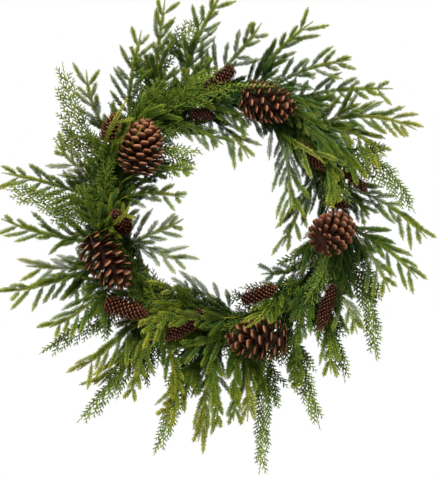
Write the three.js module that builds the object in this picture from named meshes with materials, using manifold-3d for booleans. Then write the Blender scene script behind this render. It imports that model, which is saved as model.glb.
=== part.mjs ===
// A hanging wreath: evergreen sprays of two kinds and pinecones of two kinds, all wired to one round wire frame.
// Millimetres, +Z up. The front faces -Y and the wall is on the +Y side.
// The origin is where the wall hook bears, on the inside of the frame at twelve o'clock.

import * as THREE from "three";
import { mergeVertices } from "three/addons/utils/BufferGeometryUtils.js";
import Module from "manifold-3d";

const wasm = await Module();
wasm.setup();

// ---------------------------------------------------------------- driving dimensions

const FRAME_RADIUS = 178; // centre line of the 14 inch wire frame
const FRAME_WIRE = 5; // wire diameter
const FRAME_SEGMENTS = 40;
const FRAME_SIDES = 6;
const HANG = FRAME_RADIUS - FRAME_WIRE / 2; // from the frame's centre up to the hook

const SEAT_GAP = 0.4; // between the frame's wire and what is wound round it
const CLEARANCE = 0.3; // between any two pieces
const BACK_LIMIT = 9; // nothing reaches further towards the wall

const STEM_RADIUS = 1.3; // wrapped wire of a spray, at the frame
const STEM_TIP_RADIUS = 1.0;
const SIDES = 3; // faces round a stem, a shoot or a cone's wire
const SOCKET_LENGTH = 3; // of the stretch of a stem that a shoot is raised from
const FORK_ANGLE = 0.6; // radians between a spray's two stems where they part
const WIND_PITCH = 25; // degrees that a stem leans as it is wound on
const WIND_STEPS = 3;
const BEND_STEP = 10; // a stem is bent clear of its neighbours in steps of this
const BEND_WAYS = [
  [1, 0, 0],
  [-1, 0, 0],
  [0, 1, 0],
  [0, -1, 0],
  [1, 0.6, 0],
  [1, -0.6, 0],
  [0, 0, 1],
  [0.6, 0, -1],
]; // forward, clockwise, outward
const SHOOT_LENGTHS = [1, 0.85, 0.7, 0.55]; // a shoot is tried shorter,
const SHOOT_TURNS = [0, 12, -12]; // at a wider or narrower angle,
const SHOOT_TILTS = [10, -8, 28, -26, 46, 64, 85]; // and turned out of the spray's plane, in degrees

const PICK_RADIUS = 0.9; // wire that ties a cone on
const PICK_STEPS = 4;

// A spray of each kind. Shares are of the stem's length, angles are in degrees.
const PINE = {
  shoots: 4, // side shoots on a stem
  firstShoot: 0.34,
  lastShoot: 0.78,
  shootAngle: 44,
  shootLength: [62, 42], // nearest the frame, nearest the tip
  shootRadius: 1.25,
  whorls: 2, // of needles on a shoot
  leader: 52, // needled end of the stem itself
  needleLength: 10,
  needleAngle: 46,
  needleBase: 2.4,
  flat: false,
};
const CEDAR = {
  shoots: 4,
  firstShoot: 0.28,
  lastShoot: 0.8,
  shootAngle: 36,
  shootLength: [66, 38],
  shootRadius: 1.1,
  whorls: 2,
  leader: 48,
  needleLength: 16,
  needleAngle: 36,
  needleBase: 2.4,
  flat: true, // its twiglets lie to the left and right only
};

// A cone of each kind. Radii are shares of the cone's radius.
const OPEN_CONE = { around: 7, rows: 8, core: 0.36, lip: 0.3, rise: 0.62 };
const CLOSED_CONE = { around: 5, rows: 7, core: 0.8, lip: 0, rise: 0.35 };

// ---------------------------------------------------------------- what the wreath is made of
// Places are [across, height] from the frame's centre, and depth is how far in front of the frame's plane.
// `at` is the clock position on the frame, in degrees anticlockwise from three o'clock.

const CONES = [
  { kind: "open", radius: 36, at: 150, base: [-131, 51], tip: [-118, 139], depth: [64, 58] },
  { kind: "open", radius: 35, at: 203, base: [-209, -48], tip: [-147, -126], depth: [56, 74] },
  { kind: "open", radius: 34, at: 77, base: [29, 173], tip: [117, 152], depth: [60, 60] },
  { kind: "open", radius: 35, at: 351.5, base: [150, -54], tip: [199, -22], depth: [96, 42] },
  { kind: "open", radius: 34, at: 298.5, base: [102, -205], tip: [5, -206], depth: [62, 64] },
  { kind: "closed", radius: 17, at: 144, base: [-182, 106], tip: [-163, 150], depth: [42, 40] },
  { kind: "closed", radius: 14, at: 101.5, base: [18, 219], tip: [-32, 181], depth: [38, 34] },
  { kind: "closed", radius: 10, at: 93, base: [-52, 150], tip: [-8, 144], depth: [36, 30] },
  { kind: "closed", radius: 12, at: 39, base: [120, 99], tip: [162, 58], depth: [42, 50] },
  { kind: "closed", radius: 11, at: 18.5, base: [193, 60], tip: [229, 24], depth: [38, 44] },
  { kind: "closed", radius: 12, at: 5, base: [160, 14], tip: [203, 2], depth: [26, 30] },
  { kind: "closed", radius: 12, at: 326, base: [176, -122], tip: [152, -194], depth: [40, 48] },
  { kind: "closed", radius: 14, at: 289.5, base: [32, -147], tip: [88, -125], depth: [40, 44] },
  { kind: "closed", radius: 15, at: 253, base: [-30, -166], tip: [-90, -208], depth: [42, 50] },
  { kind: "closed", radius: 17, at: 222.5, base: [-184, -152], tip: [-115, -168], depth: [52, 48] },
  { kind: "closed", radius: 16, at: 190.5, base: [-152, -38], tip: [-168, -6], depth: [30, 68] },
];

// A spray's stems each have a tip, the way that the tip points in degrees, and a depth. The first starts at the
// frame, and the others fork from it. `from` is the side of the frame that it leaves, and `way` is out or in.
const SPRAYS = [
  { kind: "pine", at: 98, from: "back", way: "out", stems: [[62, 292, 60, 26]] },
  { kind: "pine", at: 81, from: "back", way: "out", stems: [[144, 296, 35, 14]] },
  { kind: "pine", at: 73, from: "back", way: "out", stems: [[203, 234, 8, 30]] },
  { kind: "pine", at: 61, from: "back", way: "out", stems: [[270, 189, 0, 22]] },
  { kind: "pine", at: 46, from: "back", way: "out", stems: [[306, 123, -28, 36], [262, 82, -42, 8]] },
  { kind: "cedar", at: 32, from: "back", way: "out", stems: [[307, -8, -68, 10]] },
  { kind: "pine", at: 14, from: "back", way: "out", stems: [[323, -48, -48, 34]] },
  { kind: "pine", at: 356, from: "back", way: "out", stems: [[311, -112, -52, 12], [264, -132, -70, 40]] },
  { kind: "cedar", at: 347, from: "back", way: "out", stems: [[246, -243, -80, 20]] },
  { kind: "pine", at: 331, from: "back", way: "out", stems: [[212, -198, -78, 48], [172, -262, -86, 34]] },
  { kind: "cedar", at: 321, from: "back", way: "out", stems: [[196, -278, -80, 12]] },
  { kind: "cedar", at: 303, from: "back", way: "out", stems: [[155, -351, -78, 26]] },
  { kind: "cedar", at: 294, from: "back", way: "out", stems: [[59, -423, -96, 20]] },
  { kind: "pine", at: 285, from: "back", way: "out", stems: [[40, -336, -94, 42]] },
  { kind: "pine", at: 271, from: "back", way: "out", stems: [[-38, -371, -104, 14], [-98, -336, -120, 34]] },
  { kind: "cedar", at: 264, from: "back", way: "out", stems: [[-107, -389, -116, 44]] },
  { kind: "cedar", at: 249, from: "back", way: "out", stems: [[-230, -341, -134, 22]] },
  { kind: "pine", at: 240, from: "back", way: "out", stems: [[-227, -256, -146, 44], [-197, -284, -138, 8]] },
  { kind: "cedar", at: 226, from: "back", way: "out", stems: [[-290, -232, -150, 16]] },
  { kind: "pine", at: 219, from: "back", way: "out", stems: [[-282, -187, -174, 42]] },
  { kind: "pine", at: 212, from: "back", way: "out", stems: [[-346, -134, -172, 14], [-306, -92, 176, 48]] },
  { kind: "pine", at: 200, from: "back", way: "out", stems: [[-350, -18, 158, 16]] },
  { kind: "cedar", at: 187, from: "back", way: "out", stems: [[-346, 30, 168, 40]] },
  { kind: "pine", at: 180, from: "back", way: "out", stems: [[-350, 56, 170, 8]] },
  { kind: "pine", at: 172, from: "back", way: "out", stems: [[-262, 104, 122, 36]] },
  { kind: "cedar", at: 165, from: "back", way: "out", stems: [[-254, 232, 98, 14]] },
  { kind: "pine", at: 153, from: "back", way: "out", stems: [[-214, 216, 92, 36]] },
  { kind: "pine", at: 141, from: "back", way: "out", stems: [[-128, 280, 80, 26]] },
  { kind: "cedar", at: 134, from: "back", way: "out", stems: [[-27, 310, 46, 8]] },
  { kind: "pine", at: 126, from: "back", way: "out", stems: [[-90, 328, 84, 40]] },
  { kind: "pine", at: 112, from: "back", way: "out", stems: [[6, 352, 60, 24]] },
  { kind: "pine", at: 105, from: "back", way: "in", stems: [[42, 79, -66, 20]] },
  { kind: "pine", at: 54, from: "back", way: "in", stems: [[108, -6, -94, 26]] },
  { kind: "pine", at: 23, from: "back", way: "in", stems: [[96, -61, -118, 10]] },
  { kind: "pine", at: 278, from: "back", way: "in", stems: [[-100, -126, 178, 26]] },
  { kind: "pine", at: 206, from: "back", way: "in", stems: [[-62, -18, 32, 18], [-54, -76, 20, 34]] },
  { kind: "cedar", at: 147, from: "back", way: "in", stems: [[-40, 60, -30, 22]] },
  { kind: "pine", at: 159, from: "front", way: "out", stems: [[-146, 168, 62, 92]] },
  { kind: "pine", at: 119, from: "front", way: "out", stems: [[-44, 206, 66, 52]] },
  { kind: "pine", at: 67, from: "front", way: "in", stems: [[159, 68, -46, 76]] },
  { kind: "pine", at: 312, from: "front", way: "in", stems: [[36, -186, -134, 100]] },
  { kind: "pine", at: 257, from: "front", way: "in", stems: [[-130, -186, -156, 84]] },
  { kind: "pine", at: 194, from: "front", way: "out", stems: [[-142, 6, 78, 96]] },
];

// ---------------------------------------------------------------- materials

const finish = (color, roughness, metalness) => new THREE.MeshStandardMaterial({ color, roughness, metalness });
const MATERIALS = {
  frame: finish(0x2f3a2a, 0.45, 0.7),
  pine: finish(0x4f7a33, 0.6, 0),
  cedar: finish(0x5b7a34, 0.65, 0),
  open: finish(0x7a4632, 0.55, 0),
  closed: finish(0x5e3226, 0.55, 0),
};

// ---------------------------------------------------------------- small helpers

const vec = (x, y, z) => new THREE.Vector3(x, y, z);
const radians = THREE.MathUtils.degToRad;
const mix = THREE.MathUtils.lerp;
const FORWARD = vec(0, -1, 0);
const place = ([across, height], depth) => vec(across, -depth, height);

/** Directions on the frame at a clock position: out from the centre, clockwise along the wire, and the point. */
function frameAt(degrees) {
  const angle = radians(degrees);
  const half = Math.PI / FRAME_SEGMENTS;
  const offMiddle = (((angle % (2 * half)) + 2 * half) % (2 * half)) - half;
  const radius = (FRAME_RADIUS * Math.cos(half)) / Math.cos(offMiddle);
  const out = vec(Math.cos(angle), 0, Math.sin(angle));
  const clockwise = vec(Math.sin(angle), 0, -Math.cos(angle));
  return { out, clockwise, point: out.clone().multiplyScalar(radius) };
}

/** A closed solid from shared vertices and triangles that face out. */
function solid(vertices, triangles) {
  return new wasm.Manifold(
    new wasm.Mesh({
      numProp: 3,
      vertProperties: new Float32Array(vertices.flatMap((v) => [v.x, v.y, v.z])),
      triVerts: new Uint32Array(triangles.flat()),
    }),
  );
}

/** A three.js geometry from a solid. */
function geometryOf(made) {
  const mesh = made.getMesh();
  return new THREE.BufferGeometry()
    .setAttribute("position", new THREE.BufferAttribute(mesh.vertProperties, 3))
    .setIndex(new THREE.BufferAttribute(mesh.triVerts, 1));
}

function namedMesh(name, geometry, material) {
  const mesh = new THREE.Mesh(geometry, material);
  mesh.name = name;
  return mesh;
}

// ---------------------------------------------------------------- the space that is taken

/** A tapered capsule, the simplest shape that holds a length of stem or a needle. */
function capsule(a, b, ra, rb) {
  return { a, b, ra, rb, middle: a.clone().lerp(b, 0.5), reach: a.distanceTo(b) / 2 + Math.max(ra, rb) };
}

/** The gap between two capsules, from the nearest points of their axes. */
function gapBetween(p, q) {
  const u = p.b.clone().sub(p.a);
  const v = q.b.clone().sub(q.a);
  const w = p.a.clone().sub(q.a);
  const [uu, uv, vv, uw, vw] = [u.dot(u), u.dot(v), v.dot(v), u.dot(w), v.dot(w)];
  const clamp = THREE.MathUtils.clamp;
  const spread = uu * vv - uv * uv;
  let s = spread > 1e-9 ? clamp((uv * vw - vv * uw) / spread, 0, 1) : 0;
  let t = vv > 1e-9 ? clamp((uv * s + vw) / vv, 0, 1) : 0;
  if (uu > 1e-9) s = clamp((uv * t - uw) / uu, 0, 1);
  const between = w.addScaledVector(u, s).addScaledVector(v, -t).length();
  return between - mix(p.ra, p.rb, s) - mix(q.ra, q.rb, t);
}

/** Everything placed so far. A piece may touch what has its own owner, and nothing else. */
class Space {
  taken = [];

  add(owner, capsules) {
    for (const c of capsules) this.taken.push({ ...c, owner });
  }

  isClear(owner, capsules) {
    return capsules.every(
      (c) =>
        Math.max(c.a.y + c.ra, c.b.y + c.rb) < BACK_LIMIT &&
        this.taken.every(
          (t) =>
            t.owner === owner ||
            c.middle.distanceTo(t.middle) > c.reach + t.reach + CLEARANCE ||
            gapBetween(c, t) > CLEARANCE,
        ),
    );
  }
}

// ---------------------------------------------------------------- stems and shoots

/** Two directions across each point of a path, carried along it without twist. */
function crossings(points) {
  const tangents = points.map((p, i) =>
    points[Math.min(i + 1, points.length - 1)].clone().sub(points[Math.max(i - 1, 0)]).normalize(),
  );
  let across = FORWARD.clone().cross(tangents[0]);
  if (across.length() < 0.2) across = vec(1, 0, 0).cross(tangents[0]);
  return tangents.map((along) => {
    across = across.clone().addScaledVector(along, -across.dot(along)).normalize();
    return { along, across, up: along.clone().cross(across) };
  });
}

/**
 * A three-sided tube along points, drawn to a point at its end. What grows from it is raised from its faces:
 * `raised` holds a needle's tip, or another tube, for the face of a stretch, under "stretch,face".
 */
class Tube {
  constructor(points, radii) {
    this.points = points;
    this.radii = radii;
    this.frames = crossings(points);
    this.turns = points.map(() => 0);
    this.raised = new Map();
  }

  /** Turns the stretch after point i so that its first face looks along `way`. */
  turnTo(i, way) {
    const { across, up } = this.frames[i];
    this.turns.fill(Math.atan2(way.dot(up), way.dot(across)) - Math.PI / SIDES, i, i + 2);
  }

  /** Raises another tube from the stretch after point i, on the side that `way` points to. */
  raiseTube(i, way, tube) {
    this.turnTo(i, way);
    this.raised.set(`${i},0`, tube);
  }

  /** The way that a face of the stretch after point i looks. */
  faceWay(i, face) {
    const angle = this.turns[i] + ((face + 0.5) * 2 * Math.PI) / SIDES;
    const { across, up } = this.frames[i];
    return across.clone().multiplyScalar(Math.cos(angle)).addScaledVector(up, Math.sin(angle));
  }

  /** Adds the tube to a mesh. It closes its own start, or grows out of the four corners of a face, `rootFace`. */
  addTo(mesh, rootFace = null) {
    const { vertices, triangles } = mesh;
    const last = this.points.length - 1;
    const first = vertices.length;
    for (let i = 0; i < last; i++) {
      const { across, up } = this.frames[i];
      for (let j = 0; j < SIDES; j++) {
        const angle = this.turns[i] + (2 * Math.PI * j) / SIDES;
        const corner = this.points[i].clone().addScaledVector(across, this.radii[i] * Math.cos(angle));
        vertices.push(corner.addScaledVector(up, this.radii[i] * Math.sin(angle)));
      }
    }
    const corner = (i, j) => first + i * SIDES + (((j % SIDES) + SIDES) % SIDES);
    const startRing = [...Array(SIDES).keys()].map((j) => corner(0, j));
    if (rootFace) triangles.push(...this.zip(vertices, rootFace, startRing));
    else triangles.push([...startRing].reverse());
    for (let i = 0; i < last - 1; i++) {
      const slip = this.leastTwist(i, (k, j) => vertices[corner(k, j)]);
      for (let j = 0; j < SIDES; j++) {
        const [a, b] = [corner(i, j), corner(i, j + 1)];
        const [c, d] = [corner(i + 1, j + 1 + slip), corner(i + 1, j + slip)];
        const grown = this.raised.get(`${i},${j}`);
        if (grown instanceof Tube) {
          grown.addTo(mesh, [a, b, c, d]);
        } else if (grown) {
          const tip = vertices.push(grown) - 1;
          triangles.push([a, b, tip], [b, c, tip], [c, d, tip], [d, a, tip]);
        } else if (vertices[a].distanceTo(vertices[c]) < vertices[b].distanceTo(vertices[d])) {
          triangles.push([a, b, c], [a, c, d]);
        } else {
          triangles.push([a, b, d], [b, c, d]);
        }
      }
    }
    const end = vertices.push(this.points[last]) - 1;
    for (let j = 0; j < SIDES; j++) triangles.push([corner(last - 1, j), corner(last - 1, j + 1), end]);
  }

  /** How many corners on the ring after point i starts, so that its corners lie nearest to those of ring i. */
  leastTwist(i, cornerAt) {
    const spread = (slip) => {
      let sum = 0;
      for (let j = 0; j < SIDES; j++) sum += cornerAt(i, j).distanceTo(cornerAt(i + 1, j + slip));
      return sum;
    };
    return [...Array(SIDES).keys()].reduce((best, slip) => (spread(slip) < spread(best) - 1e-6 ? slip : best), 0);
  }

  /** The triangles between two loops of corners round the tube's axis, one after the other along it. */
  zip(vertices, lower, upper) {
    const middle = lower.reduce((sum, v) => sum.add(vertices[v]), vec(0, 0, 0)).divideScalar(lower.length);
    const axis = this.points[0].clone().sub(middle).normalize();
    const right = axis.clone().cross(this.frames[0].up).normalize();
    const ahead = axis.clone().cross(right);
    const around = (loop, centre) => {
      const turned = loop.map((v) => {
        const spoke = vertices[v].clone().sub(centre);
        return { v, angle: Math.atan2(spoke.dot(ahead), spoke.dot(right)) };
      });
      const start = turned.reduce((best, t, k) => (t.angle < turned[best].angle ? k : best), 0);
      return turned.map((_, k) => turned[(start + k) % turned.length]);
    };
    const [low, high] = [around(lower, middle), around(upper, this.points[0])];
    const full = 2 * Math.PI;
    const angleOf = (loop, k) => loop[k % loop.length].angle + (k >= loop.length ? full : 0);
    const made = [];
    for (let l = 0, h = 0; l < low.length || h < high.length; ) {
      const lowNext = (angleOf(low, l) + angleOf(low, l + 1)) / 2;
      const highNext = (angleOf(high, h) + angleOf(high, h + 1)) / 2;
      if (h >= high.length || (l < low.length && lowNext <= highNext)) {
        made.push([low[l].v, low[(l + 1) % low.length].v, high[h % high.length].v]);
        l++;
      } else {
        made.push([low[l % low.length].v, high[(h + 1) % high.length].v, high[h].v]);
        h++;
      }
    }
    return made;
  }

  /** The tube, with all that is raised from it, as a solid about `origin`. */
  toSolid(origin) {
    const mesh = { vertices: [], triangles: [] };
    this.addTo(mesh);
    return solid(mesh.vertices.map((v) => v.clone().sub(origin)), mesh.triangles);
  }
}

/**
 * A tube along a curve whose last `length` mm carry the kind's whorls of needles. `shares` are the points of the
 * plain stretch before them, as shares of it.
 */
function needledTube(kind, curve, shares, length, radiusAt, flatSide) {
  const whole = curve.getLength();
  const start = 1 - length / whole;
  const half = kind.needleBase / 2 / whole;
  const cuts = shares.map((share) => share * start);
  const whorls = [];
  for (let w = 0; w < kind.whorls; w++) {
    const middle = start + ((w + 0.75) / (kind.whorls + 0.25)) * (1 - start);
    whorls.push(cuts.length);
    cuts.push(middle - half, middle + half);
  }
  cuts.push(1);
  const tube = new Tube(cuts.map((cut) => curve.getPointAt(cut)), cuts.map(radiusAt));
  return { tube, needles: growNeedles(kind, tube, whorls, flatSide) };
}

/** Raises a needle from each face of the whorls, or, on a flat kind, from the faces to the left and right. */
function growNeedles(kind, tube, whorls, flatSide) {
  const lean = radians(kind.needleAngle);
  const needles = [];
  whorls.forEach((i, w) => {
    const root = tube.points[i].clone().lerp(tube.points[i + 1], 0.5);
    if (kind.flat) tube.turnTo(i, flatSide.clone().multiplyScalar(w % 2 ? -1 : 1));
    else tube.turns.fill((w * Math.PI) / SIDES, i, i + 2);
    for (let face = 0; face < SIDES; face++) {
      if (kind.flat && face === 1 + (w % 2)) continue; // one to each side, and the third face bare
      const outward = tube.faceWay(i, face);
      if (kind.flat) outward.multiplyScalar(0.45).addScaledVector(flatSide, Math.sign(outward.dot(flatSide)));
      outward.normalize();
      const tip = root
        .clone()
        .addScaledVector(tube.frames[i].along, kind.needleLength * Math.cos(lean))
        .addScaledVector(outward, kind.needleLength * Math.sin(lean));
      tube.raised.set(`${i},${face}`, tip);
      needles.push(capsule(root, tip, 1.2, 0.15));
    }
  });
  return needles;
}

/** The capsules that hold the stretches of a tube. */
function tubeCapsules({ points, radii }) {
  return points.slice(1).map((point, i) => capsule(points[i], point, radii[i], radii[i + 1]));
}

/**
 * The start of a stem, wound half way round the frame's wire: its points, the way that it leaves, and the turn that
 * sets a corner of it against the wire.
 */
function winding(spec, radius, pitch) {
  const { out, clockwise, point } = frameAt(spec.at);
  const reach = (FRAME_WIRE / 2 + SEAT_GAP + radius) / Math.cos(Math.PI / (2 * WIND_STEPS));
  const leave = spec.way === "out" ? 1 : -1;
  const behind = spec.from === "back" ? 1 : -1;
  const advance = Math.PI * reach * Math.tan(radians(pitch));
  const points = [];
  for (let i = 0; i <= WIND_STEPS; i++) {
    const turned = (Math.PI * i) / WIND_STEPS; // from the far side, by the side away from the exit, to the exit
    points.push(
      point
        .clone()
        .addScaledVector(out, -leave * reach * Math.sin(turned))
        .addScaledVector(FORWARD, behind * reach * Math.cos(turned))
        .addScaledVector(clockwise, advance * (i / WIND_STEPS - 0.5)),
    );
  }
  const lean = radians(pitch);
  const heading = out.clone().multiplyScalar(leave * Math.cos(lean)).addScaledVector(clockwise, Math.sin(lean));
  return { points, heading, turn: (-behind * Math.PI) / 2 };
}

/** The curve of a stem from a point and heading to its tip, its middle pushed aside by `bend`. */
function stemCurve(start, heading, [across, height, aim, depth], bend) {
  const tip = place([across, height], depth);
  const reach = start.distanceTo(tip) * 0.38;
  const ending = vec(Math.cos(radians(aim)), 0, Math.sin(radians(aim)));
  return new THREE.CubicBezierCurve3(
    start,
    start.clone().addScaledVector(heading, reach).addScaledVector(bend, 0.5),
    tip.clone().addScaledVector(ending, -reach).add(bend),
    tip,
  );
}

/**
 * A stem of a spray, with a socket for each of its shoots: the short stretch that a shoot is raised from. The first
 * stem of a spray starts with its winding, and a forked one starts clear of the stem that it forks from.
 */
function makeStem(kind, curve, shoots, wound) {
  const radiusAt = (share) => mix(STEM_RADIUS, STEM_TIP_RADIUS, share);
  const half = SOCKET_LENGTH / 2 / (curve.getLength() - kind.leader);
  const shares = wound ? [0, kind.firstShoot / 2] : [kind.firstShoot / 2];
  const sockets = [];
  for (let n = 0; n < shoots; n++) {
    const share = mix(kind.firstShoot, kind.lastShoot, n / (shoots - 1));
    sockets.push(shares.length + (wound ? WIND_STEPS : 0));
    shares.push(share - half, share + half);
  }
  const side = curve.getTangentAt(0.8).cross(FORWARD).normalize();
  const { tube, needles } = needledTube(kind, curve, shares, kind.leader, radiusAt, side);
  if (wound) {
    const turned = wound.points.slice(0, -1);
    const whole = new Tube([...turned, ...tube.points], [...turned.map(() => STEM_RADIUS), ...tube.radii]);
    whole.turns = [...turned.map(() => wound.turn), wound.turn, ...tube.turns.slice(1)];
    whole.frames.splice(turned.length + 1, Infinity, ...tube.frames.slice(1));
    for (const [key, grown] of tube.raised) {
      const [i, face] = key.split(",").map(Number);
      whole.raised.set(`${i + turned.length},${face}`, grown);
    }
    return { tube: whole, needles, sockets };
  }
  return { tube, needles, sockets };
}

/** Where a socket is, and how its stem runs there. */
function socketAt({ tube }, i) {
  const [before, after] = [tube.points[i], tube.points[i + 1]];
  return { root: before.clone().lerp(after, 0.5), along: after.clone().sub(before).normalize() };
}

/** The stems of a spray: the first from the frame, the others forked from its first socket. */
function stemsOf(spec, kind, bend) {
  const wound = winding(spec, STEM_RADIUS, WIND_PITCH);
  const stems = [];
  for (const goal of spec.stems) {
    if (!stems.length) {
      const curve = stemCurve(wound.points[WIND_STEPS], wound.heading, goal, bend);
      stems.push(makeStem(kind, curve, kind.shoots, wound));
      continue;
    }
    const { root, along } = socketAt(stems[0], stems[0].sockets[0]);
    const towards = place(goal, goal[3]).sub(root).normalize();
    const side = towards.addScaledVector(along, -towards.dot(along)).normalize();
    const heading = along.clone().multiplyScalar(Math.cos(FORK_ANGLE)).addScaledVector(side, Math.sin(FORK_ANGLE));
    const fork = makeStem(kind, stemCurve(root, heading, goal, bend), kind.shoots - 1, null);
    stems.push({ ...fork, root, side, parent: stems[0], hostSocket: stems[0].sockets[0] });
  }
  if (stems.length > 1) stems[0].sockets.shift();
  return stems;
}

/** The ways to bend a stem clear of what is there: forward over it, back behind it, or round to a side. */
function* bends(spec) {
  const { out, clockwise } = frameAt(spec.at);
  for (const far of [0, 1, 2, 3, 4, 5]) {
    for (const [forward, along, outward] of far ? BEND_WAYS : [[0, 0, 0]]) {
      yield FORWARD.clone()
        .multiplyScalar(forward * far * BEND_STEP)
        .addScaledVector(clockwise, along * far * BEND_STEP)
        .addScaledVector(out, outward * far * BEND_STEP);
    }
  }
}

/** A spray's stems, bent as little as keeps them clear of what is there and of each other. */
function clearStems(space, name, spec, kind) {
  for (const bend of bends(spec)) {
    const stems = stemsOf(spec, kind, bend);
    const held = stems.map(({ tube, needles }) => [...tubeCapsules(tube), ...needles]);
    const apart = !held[1] || held[1].every((c) => held[0].every((t) => gapBetween(c, t) > CLEARANCE));
    if (apart && space.isClear(name, held.flat())) {
      space.add(name, held.flat());
      for (const { root, tube, side, parent, hostSocket } of stems.slice(1)) {
        space.add(name, [capsule(root, tube.points[0], STEM_RADIUS, STEM_RADIUS)]);
        parent.tube.raiseTube(hostSocket, side, tube);
      }
      return stems;
    }
  }
  throw new Error(`${name} has no clear way`);
}

/** A side shoot from a stem's socket, turned out of the spray's plane by `tilt`. */
function shootOf(kind, { root, along }, hand, tilt, angle, length) {
  const side = along.clone().cross(FORWARD).normalize();
  const front = side.clone().cross(along).normalize();
  const sideways = side
    .clone()
    .multiplyScalar(hand * Math.cos(radians(tilt)))
    .addScaledVector(front, Math.sin(radians(tilt)));
  const leaving = along
    .clone()
    .multiplyScalar(Math.cos(radians(angle)))
    .addScaledVector(sideways, Math.sin(radians(angle)));
  const middle = root.clone().addScaledVector(leaving, length * 0.5);
  const tip = middle.clone().addScaledVector(leaving, length * 0.42).addScaledVector(along, length * 0.14);
  const curve = new THREE.QuadraticBezierCurve3(root, middle, tip);
  const radiusAt = (share) => kind.shootRadius * mix(1, 0.8, share);
  const flatSide = leaving.clone().cross(sideways.clone().cross(along)).normalize();
  return { ...needledTube(kind, curve, [], length * 0.86, radiusAt, flatSide), root, sideways };
}

/** The first clear way to grow a side shoot: as it should be, or else bent, narrowed or shortened. */
function clearShoot(space, name, kind, socket, hand, length) {
  for (const shorter of SHOOT_LENGTHS) {
    for (const turn of SHOOT_TURNS) {
      for (const tilt of SHOOT_TILTS) {
        const shoot = shootOf(kind, socket, hand, tilt, kind.shootAngle + turn, length * shorter);
        const start = capsule(socket.root, shoot.tube.points[0], kind.shootRadius, kind.shootRadius);
        const rest = [...tubeCapsules(shoot.tube), ...shoot.needles];
        if (!space.isClear(name, [start]) || !space.isClear(null, rest)) continue;
        space.add(`${name} shoot`, [start, ...rest]);
        return shoot;
      }
    }
  }
  return null;
}

// ---------------------------------------------------------------- cones

/**
 * A cone with its base at the origin, turned to its axis. Its scales tile its surface as rows of diamonds, and each is
 * raised from its diamond to a lip, or to a point where the cone is closed.
 */
function coneSolid(form, radius, { length, turn }) {
  const { around, rows, core, lip, rise } = form;
  const profile = (t) => Math.sqrt(Math.max(0, 1 - ((t - 0.34) / 0.74) ** 2)) * (t < 0.12 ? 0.7 + 2.5 * t : 1);
  const level = (row) => (row + 1) / (rows + 1);
  const step = (2 * Math.PI) / around;
  const ringPoint = (angle, r, z) => vec(r * Math.cos(angle), r * Math.sin(angle), z);
  const vertices = [];
  const triangles = [];
  const valley = (row, i) => (row + 1) * around + ((i + around) % around);
  for (let row = -1; row <= rows; row++) {
    const t = THREE.MathUtils.clamp(level(row), 0.03, 0.97);
    for (let i = 0; i < around; i++) {
      const angle = step * (i + (row & 1 ? 0 : 0.5));
      vertices.push(ringPoint(angle, radius * core * Math.max(profile(t), 0.25), t * length));
    }
  }
  for (let row = 0; row < rows; row++) {
    const t = level(row);
    const outer = radius * profile(t);
    const tipHeight = Math.min(t * length + (outer * rise) / 2, length);
    for (let i = 0; i < around; i++) {
      const shifted = row & 1 ? 1 : 0;
      const angle = step * (i + shifted * 0.5);
      const right = valley(row, shifted ? i + 1 : i);
      const left = valley(row, shifted ? i : i - 1);
      const below = valley(row - 1, i);
      const above = valley(row + 1, i);
      if (lip) {
        const half = lip * step;
        const first = vertices.push(ringPoint(angle - half, outer, tipHeight)) - 1;
        const second = vertices.push(ringPoint(angle + half, outer, tipHeight)) - 1;
        triangles.push([below, right, second], [right, above, second], [above, first, second]);
        triangles.push([above, left, first], [left, below, first], [below, second, first]);
      } else {
        const tip = vertices.push(ringPoint(angle, outer, tipHeight)) - 1;
        triangles.push([below, right, tip], [right, above, tip], [above, left, tip], [left, below, tip]);
      }
    }
  }
  const bottom = vertices.push(vec(0, 0, 0)) - 1;
  const top = vertices.push(vec(0, 0, length)) - 1;
  const lastShift = rows & 1 ? 0 : 1;
  for (let i = 0; i < around; i++) {
    triangles.push([bottom, valley(0, i), valley(-1, i)], [bottom, valley(-1, i + 1), valley(0, i)]);
    const [edge, crown] = [valley(rows, i), valley(rows - 1, i + lastShift)];
    triangles.push([top, edge, crown], [top, valley(rows - 1, i + lastShift - 1), edge]);
  }
  for (const vertex of vertices) vertex.applyQuaternion(turn);
  return solid(vertices, triangles);
}

/** Where a cone stands: its base, the turn that carries +Z to its axis, and its length. */
function coneStand(spec) {
  const base = place(spec.base, spec.depth[0]);
  const tip = place(spec.tip, spec.depth[1]);
  const axis = tip.clone().sub(base);
  const length = axis.length();
  const turn = new THREE.Quaternion().setFromUnitVectors(vec(0, 0, 1), axis.clone().normalize());
  return { base, tip, length, turn };
}

/** The wire that ties a cone on: wound half way round the frame, then into the cone between its lowest scales. */
function conePick(spec, stand) {
  const wound = winding({ ...spec, from: "front", way: spec.pickWay ?? "out" }, PICK_RADIUS, 0);
  const start = wound.points[WIND_STEPS];
  const end = stand.base.clone().lerp(stand.tip, 0.3);
  const reach = start.distanceTo(end) * 0.4;
  const curve = new THREE.CubicBezierCurve3(
    start,
    start.clone().addScaledVector(wound.heading, reach * 0.5).addScaledVector(FORWARD, reach * 0.5),
    end.clone().addScaledVector(FORWARD, -reach),
    end,
  );
  const points = [...wound.points.slice(0, -1), ...curve.getSpacedPoints(PICK_STEPS)];
  const pick = new Tube(points, points.map(() => PICK_RADIUS));
  pick.turns.fill(wound.turn);
  return pick;
}

// ---------------------------------------------------------------- assembly

const space = new Space();
const wreath = new THREE.Group();
wreath.position.z = -HANG;

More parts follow.
